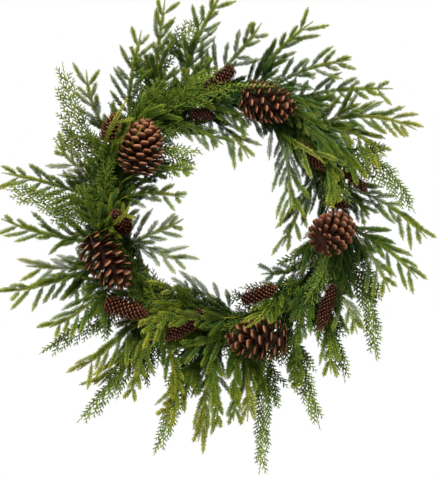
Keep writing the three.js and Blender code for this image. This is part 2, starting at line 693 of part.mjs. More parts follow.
function addFrame() {
  const torus = new THREE.TorusGeometry(FRAME_RADIUS, FRAME_WIRE / 2, FRAME_SIDES, FRAME_SEGMENTS);
  torus.deleteAttribute("normal");
  torus.deleteAttribute("uv");
  const ring = namedMesh("wire_frame", mergeVertices(torus), MATERIALS.frame);
  ring.rotation.x = Math.PI / 2;
  wreath.add(ring);
  for (let i = 0; i < FRAME_SEGMENTS; i++) {
    const step = 360 / FRAME_SEGMENTS;
    const [from, to] = [frameAt(i * step).point, frameAt((i + 1) * step).point];
    space.add("wire_frame", [capsule(from, to, FRAME_WIRE / 2, FRAME_WIRE / 2)]);
  }
}

function addCone(spec, name) {
  const form = spec.kind === "open" ? OPEN_CONE : CLOSED_CONE;
  const stand = coneStand(spec);
  const pick = conePick(spec, stand);
  const body = coneSolid(form, spec.radius, stand).add(pick.toSolid(stand.base));
  const cone = namedMesh(name, geometryOf(body), MATERIALS[spec.kind]);
  cone.position.copy(stand.base);
  wreath.add(cone);

  const along = (share) => stand.base.clone().lerp(stand.tip, share);
  const held = [
    capsule(along(0.1), along(0.34), spec.radius * 0.85, spec.radius),
    capsule(along(0.34), along(0.95), spec.radius, spec.radius * 0.5),
  ];
  held.push(...tubeCapsules(pick));
  if (!space.isClear(name, held)) console.warn(`${name} is not clear`);
  space.add(name, held);
}

function addSprays() {
  const sprays = SPRAYS.map((spec, i) => {
    const kind = spec.kind === "pine" ? PINE : CEDAR;
    const name = `${spec.kind}_spray_${String(i + 1).padStart(2, "0")}`;
    return { spec, kind, name, stems: clearStems(space, name, spec, kind) };
  });
  // Every spray grows its first shoot before any grows its second, so that none takes all the room.
  const mostShoots = Math.max(PINE.shoots, CEDAR.shoots);
  for (let n = 0; n < mostShoots; n++) {
    for (const { kind, name, stems } of sprays) {
      for (const stem of stems) growShoot(kind, name, stem, n);
    }
  }
  for (const { spec, name, stems } of sprays) {
    const root = frameAt(spec.at).point;
    const spray = namedMesh(name, geometryOf(stems[0].tube.toSolid(root)), MATERIALS[spec.kind]);
    spray.position.copy(root);
    wreath.add(spray);
  }
}

/** Grows the n-th shoot of a stem, on the left and right in turn, if there is a clear way for it. */
function growShoot(kind, name, stem, n) {
  const host = stem.sockets[n];
  if (host === undefined) return;
  const along = n / (stem.sockets.length - 1);
  const hand = n % 2 ? 1 : -1;
  const shoot = clearShoot(space, name, kind, socketAt(stem, host), hand, mix(...kind.shootLength, along));
  if (!shoot) return;
  stem.tube.raiseTube(host, shoot.sideways, shoot.tube);
}

addFrame();
const counts = { open: 0, closed: 0 };
for (const spec of CONES) addCone(spec, `${spec.kind}_pinecone_${++counts[spec.kind]}`);
addSprays();

export default wreath;
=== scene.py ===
"""Dresses a hanging wreath: blades on every spray, scales on every pinecone, and all finishes.

Lengths in the recipe are millimetres, heights and depths are taken from the middle of the wire frame, and the
meshes are metres in the part's own frame: +Z up, the front towards -Y.
"""

import logging
import math
import random
from collections.abc import Callable, Iterator, Sequence
from dataclasses import dataclass
from enum import Enum

import bpy
import numpy as np
from mathutils import Matrix, Vector

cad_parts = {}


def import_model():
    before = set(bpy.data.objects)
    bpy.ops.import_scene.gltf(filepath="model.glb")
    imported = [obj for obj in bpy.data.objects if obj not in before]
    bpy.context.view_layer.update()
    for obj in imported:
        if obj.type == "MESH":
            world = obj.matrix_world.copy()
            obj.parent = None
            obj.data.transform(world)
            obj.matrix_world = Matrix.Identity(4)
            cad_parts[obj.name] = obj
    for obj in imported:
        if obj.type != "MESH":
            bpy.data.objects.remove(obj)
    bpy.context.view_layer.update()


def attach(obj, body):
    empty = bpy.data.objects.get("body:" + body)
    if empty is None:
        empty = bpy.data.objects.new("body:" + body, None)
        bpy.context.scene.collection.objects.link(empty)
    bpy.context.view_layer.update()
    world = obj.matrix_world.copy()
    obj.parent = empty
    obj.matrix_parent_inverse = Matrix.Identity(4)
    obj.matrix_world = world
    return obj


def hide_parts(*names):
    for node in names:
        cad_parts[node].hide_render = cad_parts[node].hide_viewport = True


log = logging.getLogger("wreath")

MM = 0.001
DEGREE = math.pi / 180
GOLDEN_ANGLE = math.pi * (3 - math.sqrt(5))
Point = np.ndarray
Pair, Triple = tuple[float, float], tuple[float, float, float]
Room = list[tuple[Point, Point, float, float]]  # tapered capsules, as ends and end radii
Mesh, Object, Material = bpy.types.Mesh, bpy.types.Object, bpy.types.Material
Tree, Node, Socket = bpy.types.NodeTree, bpy.types.Node, bpy.types.NodeSocket


def vec(x: float, y: float, z: float) -> Point:
    """A point or direction from its three numbers."""
    return np.array([x, y, z], float)


FORWARD = vec(0, -1, 0)

# ---- driving sizes, as built

FRAME_RADIUS = 178.0
FRAME_WIRE = 5.0
FRAME_SEGMENTS = 40
HANG = FRAME_RADIUS - FRAME_WIRE / 2  # how far above the middle a hook bears
SEAT_GAP = 0.4  # between the frame's wire and what is wound round it
CLEARANCE = 0.3  # least gap between pieces
BACK_LIMIT = 9.0  # how far back the solids may reach
STEM_RADIUS = 1.3
STEM_TIP_RADIUS = 1.0
STEM_REACH = 0.38  # how far a stem runs straight at each end, as a share of the way between its ends
SIDES = 3  # of a stem, a twig and a spur
SOCKET_LENGTH = 3.0
NEEDLE_RADII = (1.2, 0.15)  # of the solids' needles, at the root and the tip
FLATTENED = 0.45  # how far those of a flat spray leave its plane, as a share of the usual
FORK_ANGLE = 0.6  # radians
WIND_PITCH = 25.0  # degrees
WIND_STEPS = 3
PICK_RADIUS = 0.9  # of the wire that ties a cone on
PICK_STEPS = 4
BEND_STEP = 10.0

# Ways to bend a stem, forward, clockwise and outward, and what a shoot tries to keep clear: shares of its
# length, degrees that it turns, and degrees that it tilts to the front.
BEND_WAYS = ((1, 0, 0), (-1, 0, 0), (0, 1, 0), (0, -1, 0), (1, 0.6, 0), (1, -0.6, 0), (0, 0, 1), (0.6, 0, -1))
SHOOT_LENGTHS = (1, 0.85, 0.7, 0.55)
SHOOT_TURNS = (0, 12, -12)
SHOOT_TILTS = (10, -8, 28, -26, 46, 64, 85)


class Leaf(Enum):
    """What a spray bears."""

    PINE = "pine"
    CEDAR = "cedar"


class Side(Enum):
    """Where a stem leaves the frame's wire."""

    BACK = "back"
    FRONT = "front"


class Way(Enum):
    """Which way it goes, away from the frame's middle or towards it."""

    OUT = "out"
    IN = "in"


class Scales(Enum):
    """How a pinecone's scales stand."""

    OPEN = "open"
    CLOSED = "closed"


@dataclass(frozen=True)
class Habit:
    """How a kind of spray grows: its solid's few shoots, and the many of the finished one."""

    first_shoot: float  # places of the first and last, as shares of the stem without its leader
    last_shoot: float
    leader: float  # length of the stem's end without shoots
    needle_length: float
    needle_angle: float
    flat: bool
    pair_spacing: float  # between the finished spray's pairs of shoots
    bare: float  # share of a stem with no shoots, next to the frame
    leafy_length: Pair  # of the finished spray's shoots, from root to tip
    leafy_angle: float
    shoots: int = 4  # sockets on the solid's first stem
    whorls: int = 2  # of needles, on the leader
    needle_base: float = 2.4


PINE = Habit(
    first_shoot=0.34,
    last_shoot=0.78,
    leader=52,
    needle_length=10,
    needle_angle=46,
    flat=False,
    pair_spacing=19.5,
    bare=0.1,
    leafy_length=(57, 36),
    leafy_angle=36,
)
CEDAR = Habit(
    first_shoot=0.28,
    last_shoot=0.8,
    leader=48,
    needle_length=16,
    needle_angle=36,
    flat=True,
    pair_spacing=8.0,
    bare=0.08,
    leafy_length=(64, 18),
    leafy_angle=30,
)
HABITS = {Leaf.PINE: PINE, Leaf.CEDAR: CEDAR}


@dataclass(frozen=True)
class Goal:
    """Where a stem ends: its tip across and up from the middle, its aim in degrees there, and its depth."""

    across: float
    height: float
    aim: float
    depth: float


@dataclass(frozen=True)
class SprayPlan:
    """A spray: its clock position on the frame, the side and way that it leaves, and its stems' goals."""

    leaf: Leaf
    at: float
    side: Side
    way: Way
    goals: tuple[Goal, ...]


@dataclass(frozen=True)
class ConePlan:
    """A pinecone: its greatest radius, its clock position on the frame, and its base and tip."""

    scales: Scales
    radius: float
    at: float
    base: Triple
    tip: Triple
    width: float = 1.0  # of its scales
    count: int = 0  # of its scales, or 0 for the usual
    tip_rise: float = 0.0  # degrees that its last scales stand up, or 0 for the usual
    ruffle: float = 4.0  # degrees that its scales stray


def pine(at: float, *goals: tuple, side: Side = Side.BACK, way: Way = Way.OUT) -> SprayPlan:
    """A pine spray's plan."""
    return SprayPlan(Leaf.PINE, at, side, way, tuple(Goal(*goal) for goal in goals))


def cedar(at: float, *goals: tuple, way: Way = Way.OUT) -> SprayPlan:
    """A cedar spray's plan."""
    return SprayPlan(Leaf.CEDAR, at, Side.BACK, way, tuple(Goal(*goal) for goal in goals))


def cone(scales: Scales, radius: float, at: float, base: tuple, tip: tuple, *look: float) -> ConePlan:
    """A pinecone's plan, its base and tip as across, height and depth."""
    return ConePlan(scales, radius, at, base, tip, *look)


CONES = (
    cone(Scales.OPEN, 36, 150, (-131, 51, 64), (-118, 139, 58)),
    cone(Scales.OPEN, 35, 203, (-209, -48, 56), (-147, -126, 74), 1.14, 70, 56, 12),
    cone(Scales.OPEN, 34, 77, (29, 173, 60), (117, 152, 60), 0.86, 86, 48, 13),
    cone(Scales.OPEN, 34, 351.5, (150, -54, 96), (199, -22, 42), 0.76, 92),
    cone(Scales.OPEN, 34, 298.5, (102, -205, 62), (5, -206, 64), 1.14, 74, 48, 14),
    cone(Scales.CLOSED, 17, 144, (-182, 106, 42), (-163, 150, 40)),
    cone(Scales.CLOSED, 14, 101.5, (18, 219, 38), (-32, 181, 34)),
    cone(Scales.CLOSED, 10, 93, (-52, 150, 36), (-8, 144, 30)),
    cone(Scales.CLOSED, 12, 39, (120, 99, 42), (162, 58, 50)),
    cone(Scales.CLOSED, 11, 18.5, (193, 60, 38), (229, 24, 44)),
    cone(Scales.CLOSED, 12, 5, (160, 14, 26), (203, 2, 30)),
    cone(Scales.CLOSED, 12, 326, (176, -122, 40), (152, -194, 48)),
    cone(Scales.CLOSED, 14, 289.5, (32, -147, 40), (88, -125, 44)),
    cone(Scales.CLOSED, 15, 253, (-30, -166, 42), (-90, -208, 50)),
    cone(Scales.CLOSED, 17, 222.5, (-184, -152, 52), (-115, -168, 48)),
    cone(Scales.CLOSED, 16, 190.5, (-152, -38, 30), (-168, -6, 68)),
)

SPRAYS = (
    pine(98, (62, 292, 60, 26)),
    pine(81, (144, 296, 35, 14)),
    pine(73, (203, 234, 8, 30)),
    pine(61, (270, 189, 0, 22)),
    pine(46, (306, 123, -28, 36), (262, 82, -42, 8)),
    cedar(32, (307, -8, -68, 10)),
    pine(14, (323, -48, -48, 34)),
    pine(356, (311, -112, -52, 12), (264, -132, -70, 40)),
    cedar(347, (246, -243, -80, 20)),
    pine(331, (212, -198, -78, 48), (172, -262, -86, 34)),
    cedar(321, (196, -278, -80, 12)),
    cedar(303, (155, -351, -78, 26)),
    cedar(294, (59, -423, -96, 20)),
    pine(285, (40, -336, -94, 42)),
    pine(271, (-38, -371, -104, 14), (-98, -336, -120, 34)),
    cedar(264, (-107, -389, -116, 44)),
    cedar(249, (-230, -341, -134, 22)),
    pine(240, (-227, -256, -146, 44), (-197, -284, -138, 8)),
    cedar(226, (-290, -232, -150, 16)),
    pine(219, (-282, -187, -174, 42)),
    pine(212, (-346, -134, -172, 14), (-306, -92, 176, 48)),
    pine(200, (-350, -18, 158, 16)),
    cedar(187, (-346, 30, 168, 40)),
    pine(180, (-350, 56, 170, 8)),
    pine(172, (-262, 104, 122, 36)),
    cedar(165, (-254, 232, 98, 14)),
    pine(153, (-214, 216, 92, 36)),
    pine(141, (-128, 280, 80, 26)),
    cedar(134, (-27, 310, 46, 8)),
    pine(126, (-90, 328, 84, 40)),
    pine(112, (6, 352, 60, 24)),
    pine(105, (42, 79, -66, 20), way=Way.IN),
    pine(54, (108, -6, -94, 26), way=Way.IN),
    pine(23, (96, -61, -118, 10), way=Way.IN),
    pine(278, (-100, -126, 178, 26), way=Way.IN),
    pine(206, (-62, -18, 32, 18), (-54, -76, 20, 34), way=Way.IN),
    cedar(147, (-40, 60, -30, 22), way=Way.IN),
    pine(159, (-146, 168, 62, 92), side=Side.FRONT),
    pine(119, (-44, 206, 66, 52), side=Side.FRONT),
    pine(67, (159, 68, -46, 76), side=Side.FRONT, way=Way.IN),
    pine(312, (36, -186, -134, 100), side=Side.FRONT, way=Way.IN),
    pine(257, (-130, -186, -156, 84), side=Side.FRONT, way=Way.IN),
    pine(194, (-142, 6, 78, 96), side=Side.FRONT),
)

# ---- curves and clear space


def unit(v: Point) -> Point:
    """A vector at length 1."""
    return v / max(float(np.linalg.norm(v)), 1e-12)


def mix(a: float, b: float, t: float) -> float:
    """The value a share t of the way from a to b."""
    return a + (b - a) * t


def place(across: float, height: float, depth: float) -> Point:
    """A point from its place across and up from the frame's middle and its depth in front of it."""
    return vec(across, -depth, height)


def hung(point: Point) -> Point:
    """A point in metres from where the frame hangs, which is the part's origin."""
    return (point - vec(0, 0, HANG)) * MM


class Bezier:
    """A curve through control points, read by shares of its length."""

    STEPS = 200

    def __init__(self, *controls: Point) -> None:
        """Args:
        controls: three or four control points.
        """
        self.controls = controls
        at = np.linspace(0, 1, self.STEPS + 1)
        points = np.array([self.at_parameter(t) for t in at])
        steps = np.linalg.norm(np.diff(points, axis=0), axis=1)
        self.lengths = np.concatenate([[0], np.cumsum(steps)])
        self.parameters = at

    @property
    def length(self) -> float:
        """The curve's whole length."""
        return float(self.lengths[-1])

    def at_parameter(self, t: float) -> Point:
        """The point at a parameter, by repeated mixing of the controls.

        Args:
            t: the parameter, 0 to 1.

        Returns:
            The point.
        """
        level = list(self.controls)
        while len(level) > 1:
            level = [a + (b - a) * t for a, b in zip(level, level[1:])]
        return level[0]

    def at(self, share: float) -> Point:
        """The point at a share of the length."""
        return self.at_parameter(float(np.interp(share * self.length, self.lengths, self.parameters)))

    def tangent(self, share: float) -> Point:
        """The direction at a share of the length."""
        return unit(self.at(min(share + 5e-4, 1)) - self.at(max(share - 5e-4, 0)))


@dataclass
class Capsules:
    """Tapered capsules, the simplest shapes that hold lengths of stem, needles and cones."""

    a: np.ndarray
    b: np.ndarray
    ra: np.ndarray
    rb: np.ndarray

    @classmethod
    def of(cls, rows: Room) -> "Capsules":
        """Capsules from their ends and end radii."""
        a, b, ra, rb = zip(*rows)
        return cls(np.array(a), np.array(b), np.array(ra, float), np.array(rb, float))

    def gaps(self, other: "Capsules") -> np.ndarray:
        """The gap of each capsule here to each of another set.

        Args:
            other: the other set.

        Returns:
            A table of gaps, below 0 where two overlap.
        """
        u, v = (self.b - self.a)[:, None], (other.b - other.a)[None]
        w = self.a[:, None] - other.a[None]
        uu, vv = (u * u).sum(-1), (v * v).sum(-1)
        uv, uw, vw = (u * v).sum(-1), (u * w).sum(-1), (v * w).sum(-1)
        spread = uu * vv - uv * uv
        s = np.where(spread > 1e-9, np.clip((uv * vw - vv * uw) / np.maximum(spread, 1e-9), 0, 1), 0)
        t = np.clip((uv * s + vw) / np.maximum(vv, 1e-9), 0, 1)
        s = np.clip((uv * t - uw) / np.maximum(uu, 1e-9), 0, 1)
        between = np.linalg.norm(w + u * s[..., None] - v * t[..., None], axis=-1)
        mine = self.ra[:, None] + (self.rb - self.ra)[:, None] * s
        return between - mine - (other.ra[None] + (other.rb - other.ra)[None] * t)


class Space:
    """Everything placed so far, with its owner."""

    def __init__(
        self, front_limit: float = math.inf, back_limit: float = BACK_LIMIT, like: "Space | None" = None
    ) -> None:
        """Args:
        front_limit: how far forward anything may reach.
        back_limit: how far back anything may reach.
        like: a space whose things it starts with.
        """
        self.front_limit, self.back_limit = front_limit, back_limit
        self.taken = like.taken if like else Capsules(*np.zeros((2, 0, 3)), *np.zeros((2, 0)))
        self.owners = like.owners if like else np.zeros(0, object)

    def add(self, owner: str, rows: Room) -> None:
        """Takes the room of an owner's capsules.

        Args:
            owner: the owner's name.
            rows: the capsules.
        """
        more, old = Capsules.of(rows), self.taken
        self.taken = Capsules(
            np.vstack([old.a, more.a]),
            np.vstack([old.b, more.b]),
            np.concatenate([old.ra, more.ra]),
            np.concatenate([old.rb, more.rb]),
        )
        self.owners = np.concatenate([self.owners, np.array([owner] * len(rows), object)])

    def is_clear(self, owner: str, rows: Room) -> bool:
        """Whether capsules keep within the limits and clear of all that other owners have taken.

        Args:
            owner: the name of their owner, or none.
            rows: the capsules.

        Returns:
            True where they do.
        """
        c = Capsules.of(rows)
        if max((c.a[:, 1] + c.ra).max(), (c.b[:, 1] + c.rb).max()) >= self.back_limit:
            return False
        if min((c.a[:, 1] - c.ra).min(), (c.b[:, 1] - c.rb).min()) <= -self.front_limit:
            return False
        low = np.minimum(c.a, c.b).min(0) - max(c.ra.max(), c.rb.max()) - CLEARANCE
        high = np.maximum(c.a, c.b).max(0) + max(c.ra.max(), c.rb.max()) + CLEARANCE
        t, reach = self.taken, np.maximum(self.taken.ra, self.taken.rb)[:, None]
        near = (np.minimum(t.a, t.b) - reach < high).all(1) & (np.maximum(t.a, t.b) + reach > low).all(1)
        near &= self.owners != owner
        if not near.any():
            return True
        return bool((c.gaps(Capsules(t.a[near], t.b[near], t.ra[near], t.rb[near])) > CLEARANCE).all())


# ---- the frame and the stems


def frame_at(degrees: float) -> tuple[Point, Point, Point]:
    """A clock position on the frame.

    Args:
        degrees: anticlockwise from three o'clock.

    Returns:
        The way out from the middle, the way clockwise, and the point on the wire's centre line.
    """
    angle, half = math.radians(degrees), math.pi / FRAME_SEGMENTS
    radius = FRAME_RADIUS * math.cos(half) / math.cos(angle % (2 * half) - half)
    out = vec(math.cos(angle), 0, math.sin(angle))
    return out, vec(math.sin(angle), 0, -math.cos(angle)), out * radius


def crossings(points: Sequence[Point]) -> list[tuple[Point, Point, Point]]:
    """The way along, across and up at each point of a path, carried along it without twist.

    Args:
        points: the path.

    Returns:
        The three ways at each point.
    """
    last = len(points) - 1
    tangents = [unit(points[min(i + 1, last)] - points[max(i - 1, 0)]) for i in range(last + 1)]
    across = np.cross(FORWARD, tangents[0])
    if np.linalg.norm(across) < 0.2:
        across = np.cross(vec(1, 0, 0), tangents[0])
    made = []
    for along in tangents:
        across = unit(across - along * across.dot(along))
        made.append((along, across, np.cross(along, across)))
    return made


@dataclass
class Stem:
    """A stem of a spray: the points of its solid, the smooth curve inside it, and where its sockets are."""

    curve: Bezier
    wound: list[Point]
    points: list[Point]
    radii: list[float]
    needles: Room
    sockets: list[int]

    def capsules(self) -> Room:
        """The room that the solid takes."""
        ends = zip(self.points, self.points[1:], self.radii, self.radii[1:])
        return [*ends, *self.needles]

    def socket(self, i: int) -> tuple[Point, Point]:
        """The middle of a socket, and the way along the stem there."""
        before, after = self.points[i], self.points[i + 1]
        return (before + after) / 2, unit(after - before)


def winding(plan: SprayPlan, radius: float, pitch: float) -> tuple[list[Point], Point]:
    """The start of a stem, wound half way round the frame's wire.

    Args:
        plan: the spray's plan, or any with the same places.
        radius: the stem's radius.
        pitch: degrees that the turn leans.

    Returns:
        Its points, and the way that it leaves.
    """
    out, clockwise, point = frame_at(plan.at)
    reach = (FRAME_WIRE / 2 + SEAT_GAP + radius) / math.cos(math.pi / (2 * WIND_STEPS))
    leave = 1 if plan.way is Way.OUT else -1
    behind = 1 if plan.side is Side.BACK else -1
    advance = math.pi * reach * math.tan(math.radians(pitch))
    points = []
    for i in range(WIND_STEPS + 1):
        turned = math.pi * i / WIND_STEPS
        points.append(
            point
            - out * leave * reach * math.sin(turned)
            + FORWARD * behind * reach * math.cos(turned)
            + clockwise * advance * (i / WIND_STEPS - 0.5)
        )
    lean = math.radians(pitch)
    return points, out * leave * math.cos(lean) + clockwise * math.sin(lean)


def stem_curve(start: Point, heading: Point, goal: Goal, bend: Point) -> Bezier:
    """The curve of a stem, its middle pushed aside by a bend.

    Args:
        start: where it starts.
        heading: the way that it leaves.
        goal: where and how it ends.
        bend: how far its middle is pushed.

    Returns:
        The curve.
    """
    tip = place(goal.across, goal.height, goal.depth)
    reach = float(np.linalg.norm(tip - start)) * STEM_REACH
    ending = vec(math.cos(math.radians(goal.aim)), 0, math.sin(math.radians(goal.aim)))
    return Bezier(start, start + heading * reach + bend * 0.5, tip - ending * reach + bend, tip)


def whorl_needles(habit: Habit, points: Sequence[Point], whorls: Sequence[int], flat_side: Point) -> Room:
    """The capsules of the solid's few needles, which keep neighbours at their distance.

    Args:
        habit: how the spray's kind grows.
        points: along the stem.
        whorls: the place of each whorl among the points.
        flat_side: the way that a flat spray's needles spread.

    Returns:
        The capsules.
    """
    frames, lean, made = crossings(points), math.radians(habit.needle_angle), []
    for w, i in enumerate(whorls):
        along, across, up = frames[i]
        root = (points[i] + points[i + 1]) / 2
        turn = w * math.pi / SIDES
        if habit.flat:
            way = flat_side * (-1 if w % 2 else 1)
            turn = math.atan2(way.dot(up), way.dot(across)) - math.pi / SIDES
        for face in range(SIDES):
            if habit.flat and face == 1 + w % 2:
                continue
            angle = turn + (face + 0.5) * 2 * math.pi / SIDES
            outward = across * math.cos(angle) + up * math.sin(angle)
            if habit.flat:
                outward = outward * FLATTENED + flat_side * math.copysign(1, outward.dot(flat_side))
            tip = root + habit.needle_length * (along * math.cos(lean) + unit(outward) * math.sin(lean))
            made.append((root, tip, *NEEDLE_RADII))
    return made


def make_stem(habit: Habit, curve: Bezier, shoots: int, wound: list[Point] | None) -> Stem:
    """A stem with its sockets, as the solid has it.

    Args:
        habit: how the spray's kind grows.
        curve: where the stem runs.
        shoots: how many sockets it has.
        wound: the points round the frame that it starts with, or None for a fork.

    Returns:
        The stem.
    """
    half = SOCKET_LENGTH / 2 / (curve.length - habit.leader)
    shares = [0.0, habit.first_shoot / 2] if wound else [habit.first_shoot / 2]
    sockets = []
    for n in range(shoots):
        share = mix(habit.first_shoot, habit.last_shoot, n / (shoots - 1))
        sockets.append(len(shares) + (WIND_STEPS if wound else 0))
        shares += [share - half, share + half]
    start = 1 - habit.leader / curve.length
    cuts, whorls = [share * start for share in shares], []
    for w in range(habit.whorls):
        middle = start + (w + 0.75) / (habit.whorls + 0.25) * (1 - start)
        whorls.append(len(cuts))
        cuts += [middle - habit.needle_base / 2 / curve.length, middle + habit.needle_base / 2 / curve.length]
    cuts.append(1.0)
    points = [curve.at(cut) for cut in cuts]
    side = unit(np.cross(curve.tangent(0.8), FORWARD))
    needles = whorl_needles(habit, points, whorls, side)
    radii = [mix(STEM_RADIUS, STEM_TIP_RADIUS, cut) for cut in cuts]
    turned = wound[:-1] if wound else []
    return Stem(curve, turned, [*turned, *points], [*[STEM_RADIUS] * len(turned), *radii], needles, sockets)


def bends(plan: SprayPlan) -> Iterator[Point]:
    """The ways to bend a stem clear of what is there: forward over it, back behind it, or round to a side.

    Args:
        plan: the spray's plan.

    Returns:
        The bends, the least first.
    """
    out, clockwise, _ = frame_at(plan.at)
    yield vec(0, 0, 0)
    for far in range(1, 6):
        for forward, along, outward in BEND_WAYS:
            yield (FORWARD * forward + clockwise * along + out * outward) * far * BEND_STEP


def clear_stems(space: Space, name: str, plan: SprayPlan) -> list[Stem]:
    """A spray's stems, bent as little as keeps them clear of what is there and of each other.

    Args:
        space: what is placed so far, which then holds the stems too.
        name: the spray's.
        plan: the spray's.

    Returns:
        The stems, the one that is wound round the frame first.

    Raises:
        RuntimeError: where no bend is clear.
    """
    habit = HABITS[plan.leaf]
    wound, heading = winding(plan, STEM_RADIUS, WIND_PITCH)
    for bend in bends(plan):
        first = make_stem(habit, stem_curve(wound[-1], heading, plan.goals[0], bend), habit.shoots, wound)
        stems, joints = [first], []
        for goal in plan.goals[1:]:
            root, along = first.socket(first.sockets[0])
            towards = unit(place(goal.across, goal.height, goal.depth) - root)
            side = unit(towards - along * towards.dot(along))
            way = along * math.cos(FORK_ANGLE) + side * math.sin(FORK_ANGLE)
            fork = make_stem(habit, stem_curve(root, way, goal, bend), habit.shoots - 1, None)
            stems.append(fork)
            joints.append((root, fork.points[0], STEM_RADIUS, STEM_RADIUS))
        held = [stem.capsules() for stem in stems]
        apart = len(held) < 2 or (Capsules.of(held[1]).gaps(Capsules.of(held[0])) > CLEARANCE).all()
        rows = [row for capsules in held for row in capsules]
        if apart and space.is_clear(name, rows):
            space.add(name, rows + joints)
            return stems
    raise RuntimeError(f"{name} has no clear way")


# ---- node trees

Ramp = tuple[float, float, float, float]  # from a low and a high value, to a low and a high one


class Graph:
    """A node tree under construction, with short ways to add and join nodes."""

    def __init__(self, tree: Tree) -> None:
        """Args:
        tree: the tree to build in.
        """
        self.tree = tree

    def add(self, kind: str, inputs: dict | None = None, **settings: object) -> Node:
        """Adds a node.

        Args:
            kind: the node's type.
            inputs: values or sockets for its inputs, by name or place.
            settings: its own properties.

        Returns:
            The node.
        """
        node = self.tree.nodes.new(kind)
        for key, value in settings.items():
            setattr(node, key, value)
        for key, value in (inputs or {}).items():
            self.feed(node.inputs[key], value)
        return node

    def feed(self, socket: Socket, value: object) -> None:
        """Links another node's output to a socket, or sets its value.

        Args:
            socket: the input.
            value: an output, or a plain value.
        """
        if isinstance(value, Socket):
            self.tree.links.new(value, socket)
        else:
            socket.default_value = value

    def math(self, operation: str, *values: object) -> Socket:
        """The result of a Math node."""
        return self.add("ShaderNodeMath", dict(enumerate(values)), operation=operation).outputs[0]

    def times(self, a: object, b: object) -> Socket:
        """One value times another."""
        return self.math("MULTIPLY", a, b)

    def plus(self, a: object, b: object) -> Socket:
        """The sum of two values."""
        return self.math("ADD", a, b)

    def minus(self, a: object, b: object) -> Socket:
        """One value less another."""
        return self.math("SUBTRACT", a, b)

    def ramp(self, value: object, low: float, high: float, to_low: float, to_high: float) -> Socket:
        """A value carried from one range to another, and held within it."""
        given = {"Value": value, "From Min": low, "From Max": high, "To Min": to_low, "To Max": to_high}
        return self.add("ShaderNodeMapRange", given).outputs["Result"]

    def vector(self, x: object, y: object, z: object) -> Socket:
        """A vector from its three numbers."""
        return self.add("ShaderNodeCombineXYZ", {0: x, 1: y, 2: z}).outputs[0]


class GrowthGraph(Graph):
    """A Geometry Nodes tree under construction."""

    def named(self, name: str, kind: str = "FLOAT") -> Socket:
        """A named attribute of the geometry."""
        node = self.add("GeometryNodeInputNamedAttribute", {"Name": name}, data_type=kind)
        return node.outputs["Attribute"]

    def stray(self, index: object, seed: object) -> Socket:
        """A random number from -1 to 1 for each place in a row."""
        given = {2: -1.0, 3: 1.0, "ID": index, "Seed": seed}
        return self.add("FunctionNodeRandomValue", given, data_type="FLOAT").outputs[1]

    def store(self, geometry: object, name: str, value: object, domain: str) -> Socket:
        """The geometry with a named number on its points or instances."""
        given = {"Geometry": geometry, "Name": name, "Value": value}
        return self.add("GeometryNodeStoreNamedAttribute", given, data_type="FLOAT", domain=domain).outputs[0]

    def shape(self, given: object) -> Socket:
        """The geometry of an object."""
        return self.add("GeometryNodeObjectInfo", {"Object": given}).outputs["Geometry"]

    def join(self, *parts: Socket) -> Socket:
        """Several geometries as one.

        Args:
            parts: the geometries, the last of them first in the result.

        Returns:
            The joined geometry.
        """
        node = self.add("GeometryNodeJoinGeometry")
        for part in parts:
            self.tree.links.new(part, node.inputs[0])
        return node.outputs[0]

    def finish(self, geometry: Socket, material: Socket) -> None:
        """Ends the tree in Realize Instances and Set Material.

        Args:
            geometry: all that the tree has made.
            material: its finish.
        """
        real = self.add("GeometryNodeRealizeInstances", {"Geometry": geometry})
        dressed = self.add("GeometryNodeSetMaterial", {"Geometry": real.outputs[0], "Material": material})
        self.add("NodeGroupOutput", {"Geometry": dressed.outputs[0]})


FLOAT, WHOLE, THING, FINISH = (f"NodeSocket{kind}" for kind in ("Float", "Int", "Object", "Material"))


@dataclass(frozen=True)
class Input:
    """A named input or output of a node group."""

    name: str
    kind: str
    value: object = None


def add_sockets(tree: Tree, items: Sequence[Input], in_out: str) -> None:
    """Gives a node group its named inputs or outputs.

    Args:
        tree: the group.
        items: what to add.
        in_out: INPUT or OUTPUT.
    """
    for item in items:
        socket = tree.interface.new_socket(item.name, in_out=in_out, socket_type=item.kind)
        if item.value is not None:
            socket.default_value = item.value


def geometry_tree(name: str, inputs: Sequence[Input]) -> tuple[GrowthGraph, Node]:
    """A new Geometry Nodes tree with its named inputs.

    Args:
        name: the tree's name.
        inputs: its inputs, after the geometry.

    Returns:
        The tree's graph and its input node.
    """
    tree = bpy.data.node_groups.new(name, "GeometryNodeTree")
    geometry = Input("Geometry", "NodeSocketGeometry")
    add_sockets(tree, [geometry], "OUTPUT")
    add_sockets(tree, [geometry, *inputs], "INPUT")
    graph = GrowthGraph(tree)
    return graph, graph.add("NodeGroupInput")


def run_tree(
    name: str, mesh: Mesh, tree: Tree, values: dict[str, object]
) -> Object:
    """Runs a tree on a mesh and keeps the result as a plain mesh.

    Args:
        name: the finished piece's name.
        mesh: what the tree starts from.
        tree: the Geometry Nodes tree.
        values: the tree's inputs, by name.

    Returns:
        The finished object, at the origin.
    """
    holder = bpy.data.objects.new(name + "_holder", mesh)
    bpy.context.scene.collection.objects.link(holder)
    modifier = holder.modifiers.new("grow", "NODES")
    modifier.node_group = tree
    for item in tree.interface.items_tree:
        if item.item_type == "SOCKET" and item.in_out == "INPUT" and item.name in values:
            modifier[item.identifier] = values[item.name]
    graph = bpy.context.evaluated_depsgraph_get()
    made = bpy.data.meshes.new_from_object(holder.evaluated_get(graph), depsgraph=graph)
    holder.modifiers.remove(modifier)
    bpy.data.objects.remove(holder)
    bpy.data.meshes.remove(mesh)
    made.name = name
    piece = bpy.data.objects.new(name, made)
    bpy.context.scene.collection.objects.link(piece)
    return piece



# ---- foliage


